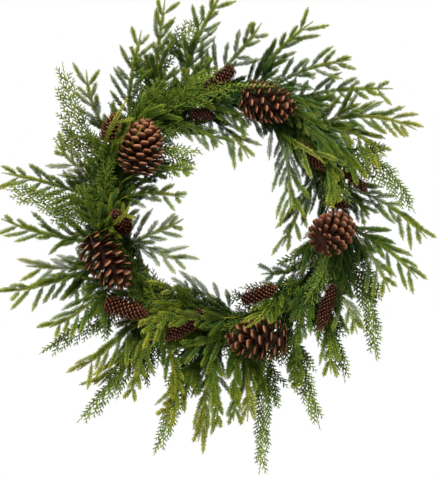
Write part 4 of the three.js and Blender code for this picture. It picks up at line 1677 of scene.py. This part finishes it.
    def branches(self, space: Space, curve: Bezier) -> Iterator[Bezier]:
        """Side branches from the lower half of a stem.

        Args:
            space: what they keep clear of.
            curve: the stem's.

        Returns:
            Their curves.
        """
        for share, hand in zip(self.branch_shares, (1, -1)):
            length = curve.length * (1 - share) * self.jitter.uniform(*self.branch_lengths)
            line = self.clear_shoot(Bearer(space, curve, 1.0, 1.0), share, hand, self.branch_angle, length)
            if line is not None and line.curve.length > self.least_branch:
                yield line.curve

    def dress_stem(self, stem: Bearer, bare: float) -> Iterator[Twig]:
        """One stem and all that grows on it.

        Args:
            stem: the stem.
            bare: share of it before the first shoot.

        Returns:
            Its twigs.
        """
        curve, age = stem.curve, stem.age
        line = Line(curve, self.flat_of(curve), (0.1 * age, age))
        yield line.twig(self.stem_radii, bare, self.tint(age), STEM_POINTS)
        first, last = bare * curve.length, curve.length - self.leader * stem.size
        rows = max(self.least_rows, round((last - first) / self.habit.pair_spacing))
        for n in range(rows + 1):
            yield from self.side_growth(stem, mix(first, last, n / rows) / curve.length, n)

    def side_growth(self, stem: Bearer, middle: float, n: int) -> Iterator[Twig]:
        """What grows at one place of a stem, as each kind of spray has it."""
        raise NotImplementedError

    def twigs(self, rooms: Rooms) -> list[Twig]:
        """All the lines of the spray: its stems with their branches, the stems that fill, and any extra ones.

        Args:
            rooms: what they keep clear of.

        Returns:
            The twigs.
        """
        made = []
        behind, outward = self.plan.side is Side.BACK, self.plan.way is Way.OUT
        for stem in self.stems:
            if stem.wound:
                wrap = [*stem.wound, stem.points[len(stem.wound)]]
                made.append(Twig(wrap, lambda s: STEM_RADIUS, lambda s: 0.0, lambda s: 0.0, 0.5, FORWARD))
            bare = self.habit.bare if stem.wound else FORK_BARE
            made += self.dress_stem(Bearer(rooms.views, stem.curve, 1.0, 1.0), bare)
            if behind and outward:
                for curve in self.branches(rooms.views, stem.curve):
                    made += self.dress_stem(Bearer(rooms.views, curve, *SIDE_GROWTH), SIDE_BARE)
        if behind:
            for curve, age in self.fills(rooms.views):
                made += self.dress_stem(Bearer(rooms.views, curve, age, FILL_SIZE), SIDE_BARE)
        for goal in EXTRA_GOALS.get(self.name, ()):
            start, (_, clockwise, _) = self.stems[0].wound[0], frame_at(self.plan.at)
            towards = unit(place(goal.across, goal.height, goal.depth) - start)
            curve = stem_curve(start, unit(clockwise + FORWARD + towards * 0.6), goal, vec(0, 0, 0))
            made += self.dress_stem(Bearer(rooms.things, curve, *EXTRA_GROWTH), EXTRA_BARE)
        return made

    def build(self, rooms: Rooms, tree: Tree, clothing: dict[str, object]) -> Object:
        """Grows the spray, clothes it and dresses it.

        Args:
            rooms: what its growth keeps clear of.
            tree: the Geometry Nodes that clothe its kind.
            clothing: the tree's inputs but for the seed.

        Returns:
            The finished piece.
        """
        twigs = polylines_mesh(self.twigs(rooms))
        values = {**clothing, "Seed": self.jitter.randrange(10000)}
        piece = run_tree(self.name + "_leafy", twigs, tree, values)
        dress(piece, self.name)
        return piece


@dataclass
class PineSpray(Spray):
    """A bottle-brush spray: needled shoots in opposite pairs."""

    pair_step: float = 0.02  # how far the shoots of a pair are apart, as a share of the stem
    pair_stray: Pair = (-0.5, 1.2)  # least and greatest share of that
    lengths: Pair = (0.5, 1.25)
    angles: float = 12.0  # degrees that shoots stray
    taper_from: float = 0.8  # share of a stem from which its shoots get shorter still

    def side_growth(self, stem: Bearer, middle: float, n: int) -> Iterator[Twig]:
        """One pair of shoots.

        Args:
            stem: what it grows on.
            middle: its place, as a share of the stem.
            n: how many are before it; not used.

        Returns:
            Its twigs.
        """
        habit, draw = self.habit, self.jitter
        for hand in (-1, 1):
            at = min(middle + hand * self.pair_step * draw.uniform(*self.pair_stray), LAST_SHOOT)
            length = mix(*habit.leafy_length, at) * stem.size * draw.uniform(*self.lengths)
            length *= tip_taper(at, self.taper_from)
            angle = habit.leafy_angle + draw.uniform(-self.angles, self.angles)
            line = self.clear_shoot(stem, at, hand, angle, length)
            if line is not None:
                yield self.shoot_twig(line, stem.age, at)


@dataclass
class CedarSpray(Spray):
    """A lacy plume: alternate side branches, each with its own twigs, all set with short spurs."""

    leader: float = 30.0
    least_rows: int = 4
    stem_radii: Pair = (1.2, 0.55)
    shoot_radii: Pair = (0.85, 0.6)
    shoot_bare: float = 0.03
    freshness: Triple = (0.5, 0.7, 0.3)
    place_stray: float = 0.008  # of a branch's place
    lengths: Pair = (0.8, 1.12)
    angle_change: Pair = (4, -2)  # degrees, at the root and the tip
    twig_places: tuple[float, ...] = (0.22, 0.42, 0.62)
    least_beyond: float = 17.0  # length of branch beyond a twig, or none grows there
    twig_stray: float = 14.0  # degrees
    twig_angle: float = 30.0
    twig_length: float = 0.42  # share of the branch beyond it
    twig_radii: Pair = (0.7, 0.5)

    def side_growth(self, stem: Bearer, middle: float, n: int) -> Iterator[Twig]:
        """One side branch and its twigs, which stand on alternate sides.

        Args:
            stem: what it grows on.
            middle: its place, as a share of the stem.
            n: how many are before it.

        Returns:
            Its twigs.
        """
        habit, draw = self.habit, self.jitter
        at = min(middle + draw.uniform(-self.place_stray, self.place_stray), LAST_SHOOT)
        length = mix(*habit.leafy_length, at**0.9) * stem.size * draw.uniform(*self.lengths)
        angle = habit.leafy_angle + mix(*self.angle_change, at)
        line = self.clear_shoot(stem, at, 1 if n % 2 else -1, angle, length)
        if line is None:
            return
        yield self.shoot_twig(line, stem.age, at)
        spots = [share for share in self.twig_places if length * (1 - share) > self.least_beyond]
        for k, share in enumerate(spots):
            root, along = line.curve.at(share), line.curve.tangent(share)
            turn = draw.uniform(-self.twig_stray, self.twig_stray)
            reach = length * (1 - share) * self.twig_length
            twig = self.shoot(root, along, 1 if k % 2 else -1, turn, self.twig_angle, reach)
            twig.fresh = (line.fresh[1] * 0.6, line.fresh[1])
            yield twig.twig(self.twig_radii, 0.0, self.tint(stem.age), TWIG_POINTS)


# ---- the pinecones


@dataclass(frozen=True)
class ScaleShape:
    """A pinecone's scale as stations along it, in shares of its length."""

    at: tuple[float, ...]
    half_width: tuple[float, ...]
    half_thickness: tuple[float, ...]
    lip: tuple[float, ...]  # how far each station is towards the pale end, 0 to 1
    curl: float  # how far its end turns up
    hollow: float  # how far the upper face dips
    around: int = 6
    curl_from: float = 0.3
    flat_end: float = 0.7  # share of the hollow that is gone at the end
    rim: float = 0.32  # how much paler its edges are
    rim_from: float = 0.5

    def mesh(self, name: str) -> Object:
        """The scale, of length 1 along +X from its root, its upper face towards +Z.

        Args:
            name: the object's name.

        Returns:
            The object.
        """
        points, faces, lips = [], [], []
        for s, half, thick, lip in zip(self.at, self.half_width, self.half_thickness, self.lip):
            rise = self.curl * max(0.0, s - self.curl_from) ** 2
            for k in range(self.around):
                angle = 2 * math.pi * k / self.around
                dip = self.hollow * half * math.sin(angle) ** 2 * (1 - self.flat_end * s**4)
                points.append((s, half * math.cos(angle), rise - dip + thick * math.sin(angle)))
                is_rim = s > self.rim_from and abs(math.cos(angle)) > 0.9
                lips.append(min(1.0, lip + (self.rim if is_rim else 0.0)))
        last = (len(self.at) - 1) * self.around
        for first in range(0, last, self.around):
            for k in range(self.around):
                a, b = first + k, first + (k + 1) % self.around
                faces.append((a, b, b + self.around, a + self.around))
        faces.append(tuple(reversed(range(self.around))))
        faces.append(tuple(range(last, last + self.around)))
        mesh = bpy.data.meshes.new(name)
        mesh.from_pydata(points, [], faces)
        mesh.polygons.foreach_set("use_smooth", [True] * len(mesh.polygons))
        return marked(mesh, "lip", lips)


OPEN_SCALE = ScaleShape(
    at=(0, 0.3, 0.58, 0.78, 0.89, 0.96, 1),
    half_width=(0.07, 0.115, 0.17, 0.215, 0.225, 0.2, 0.13),
    half_thickness=(0.03, 0.024, 0.02, 0.022, 0.032, 0.034, 0.02),
    lip=(0, 0.2, 0.38, 0.5, 0.66, 0.86, 1),
    curl=0.34,
    hollow=0.5,
)
CLOSED_SCALE = ScaleShape(
    at=(0, 0.5, 0.84, 1),
    half_width=(0.12, 0.26, 0.27, 0.13),
    half_thickness=(0.03, 0.028, 0.035, 0.02),
    lip=(0, 0.35, 0.72, 1),
    curl=0.2,
    hollow=0.4,
)


CONE_WIDEST = 0.34  # place where a pinecone is widest, as a share of its length
CONE_SPAN = 0.74  # how far from there it would end in a point


def cone_swell(at: float) -> float:
    """How wide a pinecone is at a share of its length, as a share of its greatest radius."""
    return math.sqrt(max(0.0, 1 - ((at - CONE_WIDEST) / CONE_SPAN) ** 2))


@dataclass(frozen=True)
class Spiral:
    """How scales are set round a pinecone's core, each a golden angle on from the last, from base to tip."""

    first: float = -0.12  # place of the first scale, as a share of the cone's length; the last is at 1
    least_swell: float = 0.02  # squared
    base_swell: Ramp = (-0.12, 0.12, 0.5, 1.0)  # narrower at the base, by place
    tip_swell: Ramp = (0.82, 1.0, 1.0, 0.5)  # and at the tip
    rise_power: float = 2.1  # how late the scales rise from the base's angle to the tip's
    base_droop: Ramp = (-0.12, 0.1, -28.0, 0.0)  # degrees that the lowest fold back, by place
    stray_turn: float = 0.05  # radians round the core
    stray_roll: float = 0.12  # radians round each scale's own length
    least_slope: float = 0.45  # cosine that limits how long steep scales get
    least_scale: float = 0.42  # length of the shortest scale, as a share of the cone's radius

    def tree(self, name: str) -> Tree:
        """Geometry Nodes that set the scales and keep the core that they start from.

        Args:
            name: the tree's name.

        Returns:
            The tree, whose inputs are sizes in metres and angles in degrees.
        """
        g, given = geometry_tree(
            name,
            [
                Input("Scale", THING),
                Input("Count", WHOLE, 80),
                Input("Length", FLOAT, 0.08),
                Input("Radius", FLOAT, 0.034),
                Input("Core", FLOAT, 0.2),
                Input("Base Rise", FLOAT, 5.0),
                Input("Tip Rise", FLOAT, 70.0),
                Input("Width", FLOAT, 1.0),
                Input("Ruffle", FLOAT, 4.0),
                Input("Seed", WHOLE, 1),
                Input("Material", FINISH),
            ],
        )
        values = given.outputs
        index = g.add("GeometryNodeInputIndex").outputs[0]
        draw = g.stray(index, values["Seed"])
        place_along = g.ramp(g.math("DIVIDE", g.plus(index, 0.5), values["Count"]), 0, 1, self.first, 1.0)
        above = g.math("MAXIMUM", place_along, 0.0)

        off = g.math("DIVIDE", g.minus(above, CONE_WIDEST), CONE_SPAN)
        swell = g.math("SQRT", g.math("MAXIMUM", g.minus(1.0, g.times(off, off)), self.least_swell))
        for ramp in (self.base_swell, self.tip_swell):
            swell = g.times(swell, g.ramp(place_along, *ramp))
        outside = g.times(swell, values["Radius"])
        core = g.times(outside, values["Core"])

        span = g.minus(values["Tip Rise"], values["Base Rise"])
        rise = g.plus(values["Base Rise"], g.times(g.math("POWER", above, self.rise_power), span))
        rise = g.plus(rise, g.ramp(place_along, *self.base_droop))
        rise = g.times(g.plus(rise, g.times(draw, values["Ruffle"])), DEGREE)
        steep = g.math("MAXIMUM", g.math("COSINE", rise), self.least_slope)
        size = g.math("DIVIDE", g.minus(outside, core), steep)
        size = g.math("MAXIMUM", size, g.times(values["Radius"], self.least_scale))

        around = g.plus(g.times(index, GOLDEN_ANGLE), g.times(draw, self.stray_turn))
        inside = g.minus(outside, g.times(size, g.math("COSINE", rise)))
        height = g.minus(g.times(values["Length"], above), g.times(size, g.math("SINE", rise)))
        across, forward = (g.times(inside, g.math(part, around)) for part in ("COSINE", "SINE"))
        spots = {"Count": values["Count"], "Position": g.vector(across, forward, height)}
        turn = g.vector(g.times(draw, self.stray_roll), g.times(rise, -1.0), around)
        scales = g.add(
            "GeometryNodeInstanceOnPoints",
            {
                "Points": g.add("GeometryNodePoints", spots).outputs[0],
                "Instance": g.shape(values["Scale"]),
                "Rotation": g.add("FunctionNodeEulerToRotation", {0: turn}).outputs[0],
                "Scale": g.vector(size, g.times(size, values["Width"]), size),
            },
        ).outputs[0]
        tinted = g.store(scales, "tint", g.plus(0.5, g.times(draw, 0.5)), "INSTANCE")
        g.finish(g.join(tinted, values["Geometry"]), values["Material"])
        return g.tree


@dataclass(frozen=True)
class ConeHabit:
    """How a kind of pinecone is built."""

    scale: ScaleShape
    finish: ConeFinish
    core: float  # radius of its core, as a share of the whole
    scale_root: float  # where its scales start, likewise
    base_rise: float  # degrees that its first and last scales stand up
    tip_rise: float
    count: int  # of its scales, or 0 where its length says it
    scales_per_mm: float
    shown: float  # share of its width that is kept in sight


CONE_HABITS = {
    Scales.OPEN: ConeHabit(OPEN_SCALE, OPEN_FINISH, 0.3, 0.2, -4.0, 72.0, 102, 0, 0.72),
    Scales.CLOSED: ConeHabit(CLOSED_SCALE, CLOSED_FINISH, 0.62, 0.55, 24.0, 62.0, 0, 2.9, 0.62),
}


def spindle(name: str, length: float, radius: float) -> Mesh:
    """A slim cone core up +Z, closed at both ends.

    Args:
        name: the mesh's name.
        length: of the cone; the core ends just inside it.
        radius: where it is thickest.

    Returns:
        The mesh.
    """
    end, rings, around = length * 0.97, 9, 10
    points, faces = [(0, 0, 0)], []
    for i in range(rings):
        t = (i + 0.5) / rings
        r = radius * cone_swell(t)
        angles = [2 * math.pi * k / around for k in range(around)]
        points += [(r * math.cos(angle), r * math.sin(angle), t * end) for angle in angles]
    points.append((0, 0, end))
    for k in range(around):
        n = (k + 1) % around
        faces.append((0, 1 + n, 1 + k))
        for first in range(1, (rings - 1) * around, around):
            faces.append((first + k, first + n, first + around + n, first + around + k))
        last = 1 + (rings - 1) * around
        faces.append((last + k, last + n, len(points) - 1))
    mesh = bpy.data.meshes.new(name)
    mesh.from_pydata(points, [], faces)
    return mesh


def tube(points: Sequence[Vector], radius: float) -> Mesh:
    """A wire along points, closed at both ends.

    Args:
        points: its middle line.
        radius: of the wire.

    Returns:
        The mesh.
    """
    curve = bpy.data.curves.new("tie", "CURVE")
    curve.dimensions = "3D"
    curve.bevel_depth = radius
    curve.bevel_resolution = 1
    curve.use_fill_caps = True
    spline = curve.splines.new("POLY")
    spline.points.add(len(points) - 1)
    for spot, point in zip(spline.points, points):
        spot.co = (*point, 1)
    holder = bpy.data.objects.new("tie", curve)
    mesh = bpy.data.meshes.new_from_object(holder)
    bpy.data.objects.remove(holder)
    return mesh


def join_meshes(meshes: Sequence[Mesh], name: str) -> Mesh:
    """Several meshes as one.

    Args:
        meshes: the meshes, which are removed.
        name: of the new one.

    Returns:
        The joined mesh.
    """
    points, faces = [], []
    for mesh in meshes:
        first = len(points)
        points += [tuple(v.co) for v in mesh.vertices]
        faces += [tuple(first + i for i in p.vertices) for p in mesh.polygons]
        bpy.data.meshes.remove(mesh)
    joined = bpy.data.meshes.new(name)
    joined.from_pydata(points, [], faces)
    return joined


@dataclass
class Pinecone:
    """One pinecone with the wire that ties it on: a slim core, and scales set round it in spirals."""

    name: str
    plan: ConePlan
    seed: int
    room_ends: Pair = (0.1, 0.95)  # of the room that it takes, as shares of its length
    room_radii: Pair = (0.85, 0.5)  # its radii there, as shares of the greatest
    view_steps: int = 8
    tied_at: float = 0.3  # share of its length where the wire enters

    @property
    def base(self) -> Point:
        """Where its base is."""
        return place(*self.plan.base)

    @property
    def tip(self) -> Point:
        """Where its tip is."""
        return place(*self.plan.tip)

    @property
    def habit(self) -> ConeHabit:
        """How its kind is built."""
        return CONE_HABITS[self.plan.scales]

    def pick_points(self) -> list[Point]:
        """The points of the wire that ties it to the frame.

        Returns:
            The points, from the back of the frame's wire to the cone's core.
        """
        plan = pine(self.plan.at, side=Side.FRONT)
        wound, heading = winding(plan, PICK_RADIUS, 0)
        end = self.base + (self.tip - self.base) * self.tied_at
        reach = float(np.linalg.norm(end - wound[-1])) * 0.4
        leaving = wound[-1] + heading * reach * 0.5 + FORWARD * reach * 0.5
        curve = Bezier(wound[-1], leaving, end - FORWARD * reach, end)
        return [*wound[:-1], *[curve.at(k / PICK_STEPS) for k in range(PICK_STEPS + 1)]]

    def room(self) -> Room:
        """The capsules that it takes.

        Returns:
            Two for the cone, and one for each length of its wire.
        """
        along, radius, pick = self.tip - self.base, self.plan.radius, self.pick_points()
        low, middle, high = (
            self.base + along * share for share in (self.room_ends[0], CONE_WIDEST, self.room_ends[1])
        )
        return [
            (low, middle, radius * self.room_radii[0], radius),
            (middle, high, radius, radius * self.room_radii[1]),
            *[(a, b, PICK_RADIUS, PICK_RADIUS) for a, b in zip(pick, pick[1:])],
        ]

    def view_room(self) -> Room:
        """The capsules in front of it, where only chosen shoots pass.

        Returns:
            The cone's two capsules, slimmer, at each step to the front.
        """
        share = self.habit.shown
        steps = [FORWARD * k * self.plan.radius * share for k in range(1, self.view_steps + 1)]
        body = self.room()[:2]
        return [(a + step, b + step, ra * share, rb * share) for step in steps for a, b, ra, rb in body]

    def build(
        self, tree: Tree, scale: Object, material: Material
    ) -> Object:
        """Sets the scales round the core and dresses the cone.

        Args:
            tree: the Geometry Nodes that set the scales.
            scale: one scale.
            material: its finish.

        Returns:
            The finished piece.
        """
        plan, habit = self.plan, self.habit
        axis = Vector(self.tip - self.base)
        turn = Vector((0, 0, 1)).rotation_difference(axis).to_matrix().to_4x4()
        stand = Matrix.Translation(Vector(hung(self.base))) @ turn
        lay = stand.inverted()
        length, radius = axis.length * MM, plan.radius * MM
        core = spindle(self.name + "_core", length, radius * habit.core)
        wire = tube([lay @ Vector(hung(point)) for point in self.pick_points()], PICK_RADIUS * MM)
        joined = join_meshes([core, wire], self.name + "_start")
        values = {
            "Scale": scale,
            "Count": plan.count or habit.count or int(axis.length * habit.scales_per_mm),
            "Length": length,
            "Radius": radius,
            "Core": habit.scale_root,
            "Base Rise": habit.base_rise,
            "Ruffle": plan.ruffle,
            "Tip Rise": plan.tip_rise or habit.tip_rise,
            "Width": plan.width,
            "Seed": self.seed,
            "Material": material,
        }
        piece = run_tree(self.name + "_scaly", joined, tree, values)
        piece.data.transform(stand)
        dress(piece, self.name)
        return piece


@dataclass
class WireFrame:
    """The round wire frame, of true round section."""

    around: int = 160
    section: int = 14

    def room(self) -> Room:
        """The capsules that its solid takes, one for each straight length."""
        corners = [frame_at(360 * k / FRAME_SEGMENTS)[2] for k in range(FRAME_SEGMENTS + 1)]
        return [(a, b, FRAME_WIRE / 2, FRAME_WIRE / 2) for a, b in zip(corners, corners[1:])]

    def build(self, material: Material) -> Object:
        """The frame as one smooth ring.

        Args:
            material: its finish.

        Returns:
            The finished piece.
        """
        bpy.ops.mesh.primitive_torus_add(
            major_segments=self.around,
            minor_segments=self.section,
            major_radius=FRAME_RADIUS * MM,
            minor_radius=FRAME_WIRE / 2 * MM,
        )
        ring = bpy.context.object
        ring.data.transform(Matrix.Translation((0, 0, -HANG * MM)) @ Matrix.Rotation(math.pi / 2, 4, "X"))
        ring.name = "wire_frame_round"
        ring.data.materials.clear()
        ring.data.materials.append(material)
        ring.data.polygons.foreach_set("use_smooth", [True] * len(ring.data.polygons))
        dress(ring, "wire_frame")
        return ring


# ---- the studio


@dataclass(frozen=True)
class Studio:
    """A plain pale floor, soft lights, and the camera in front."""

    view_height: float = 479  # in pixels
    mm_per_pixel: float = 1.6
    middle_across: float = -4.0
    middle_height: float = -50.4
    sensor: float = 36.0
    distance: float = 2.6
    floor_drop: float = 1.05
    floor_radius: float = 1.6
    floor_colours: tuple[Colour, Colour] = ((0.82, 0.82, 0.81), (0.86, 0.86, 0.85))
    surround: Ramp = (0.0, 1.0, 0.2, 1.0)  # strength of its light on things, and as the camera sees it
    # Each light's name, place and size in metres, and watts.
    lamps: tuple[tuple[str, Triple, float, float], ...] = (
        ("key", (-0.7, -1.5, 1.2), 0.8, 76),
        ("back", (0.9, 1.8, 0.8), 1.2, 34),
        ("fill", (1.5, -1.6, 0.3), 1.2, 22),
    )

    def camera(self) -> None:
        """Sets the camera level with the view's middle, square to the front."""
        data = bpy.data.cameras.new("camera")
        data.sensor_width = self.sensor
        data.lens = self.sensor * self.distance / (self.view_height * self.mm_per_pixel * MM)
        camera = bpy.data.objects.new("camera", data)
        camera.location = (self.middle_across * MM, -self.distance, self.middle_height * MM - HANG * MM)
        camera.rotation_euler = (math.pi / 2, 0, 0)
        bpy.context.scene.collection.objects.link(camera)
        bpy.context.scene.camera = camera

    def lights(self) -> None:
        """Adds soft square lights that look at the wreath's middle."""
        for name, spot, size, watts in self.lamps:
            data = bpy.data.lights.new(name, "AREA")
            data.size, data.energy = size, watts
            lamp = bpy.data.objects.new(name, data)
            lamp.location = spot
            towards = Vector((0, 0, -HANG * MM)) - Vector(spot)
            lamp.rotation_euler = towards.to_track_quat("-Z", "Y").to_euler()
            bpy.context.scene.collection.objects.link(lamp)

    def floor(self) -> None:
        """Lays a pale round floor well below."""
        bpy.ops.mesh.primitive_circle_add(
            vertices=96, radius=self.floor_radius, fill_type="NGON", location=(0, 0, -self.floor_drop)
        )
        floor = bpy.context.object
        floor.name = "floor"
        g = MaterialGraph("floor", roughness=0.8, patch=0.4, speck=0.05)
        g.dress_shader(Base_Color=g.blend(g.patches, *(rgba(colour) for colour in self.floor_colours)))
        floor.data.materials.append(g.material)

    def world(self) -> None:
        """A white surround that shows at full strength and lights the wreath softly."""
        world = bpy.data.worlds.new("studio")
        bpy.context.scene.world = world
        world.use_nodes = True
        g = Graph(world.node_tree)
        background = world.node_tree.nodes["Background"]
        background.inputs["Color"].default_value = rgba((1, 1, 1))
        seen = g.add("ShaderNodeLightPath").outputs["Is Camera Ray"]
        g.feed(background.inputs["Strength"], g.ramp(seen, *self.surround))

    def build(self) -> None:
        """Sets up the whole studio."""
        self.camera()
        self.lights()
        self.floor()
        self.world()
        view = bpy.context.scene.view_settings
        view.view_transform = "Standard"
        view.look = "None"


# ---- the whole wreath


def report(piece: Object) -> None:
    """Reports a finished piece."""
    log.info("%s: %d triangles", piece.name, sum(len(face.vertices) - 2 for face in piece.data.polygons))


def build_cones(space: Space) -> list[Pinecone]:
    """Sets the pinecones where their plans say and builds them.

    Args:
        space: what is placed so far, which then holds the cones too.

    Returns:
        The cones.
    """
    tree = Spiral().tree("pinecone_scales")
    parts, cones, counts = {}, [], {kind: 0 for kind in Scales}
    for kind, habit in CONE_HABITS.items():
        parts[kind] = (habit.scale.mesh(kind.value + "_scale"), habit.finish.make())
    for i, plan in enumerate(CONES):
        counts[plan.scales] += 1
        made = Pinecone(f"{plan.scales.value}_pinecone_{counts[plan.scales]}", plan, i + 1)
        cones.append(made)
        space.add(made.name, made.room())
        report(made.build(tree, *parts[plan.scales]))
    return cones


def build_sprays(space: Space, rooms: Rooms) -> None:
    """Finds every spray's stems a clear way, in the order of their plans, and grows and clothes it.

    Args:
        space: what is placed so far, which then holds the stems too.
        rooms: what the finished growth keeps clear of.
    """
    clothing = {
        Leaf.PINE: PINE_CLOTHING.make(PINE_FINISH.make()),
        Leaf.CEDAR: CEDAR_CLOTHING.make(CEDAR_FINISH.make()),
    }
    for i, (plan, hue) in enumerate(zip(SPRAYS, HUES)):
        name = f"{plan.leaf.value}_spray_{i + 1:02d}"
        kind = PineSpray if plan.leaf is Leaf.PINE else CedarSpray
        made = kind(name, plan, clear_stems(space, name, plan), random.Random(i + 11), hue)
        report(made.build(rooms, *clothing[plan.leaf]))


def main() -> None:
    """Builds the wreath's pieces in order and reports each."""
    logging.basicConfig(level=logging.INFO, format="%(name)s: %(message)s")
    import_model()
    Studio().build()
    frame = WireFrame()
    report(frame.build(WIRE_FINISH.make()))

    space = Space()
    space.add("wire_frame", frame.room())
    cones = build_cones(space)
    rooms = Rooms(*(Space(FOLIAGE_FRONT, FOLIAGE_BACK, space) for _ in range(2)))
    for made in cones:
        if made.name not in HIDDEN_CONES:
            rooms.views.add(made.name, made.view_room())
    build_sprays(space, rooms)


if __name__ == "__main__":
    main()
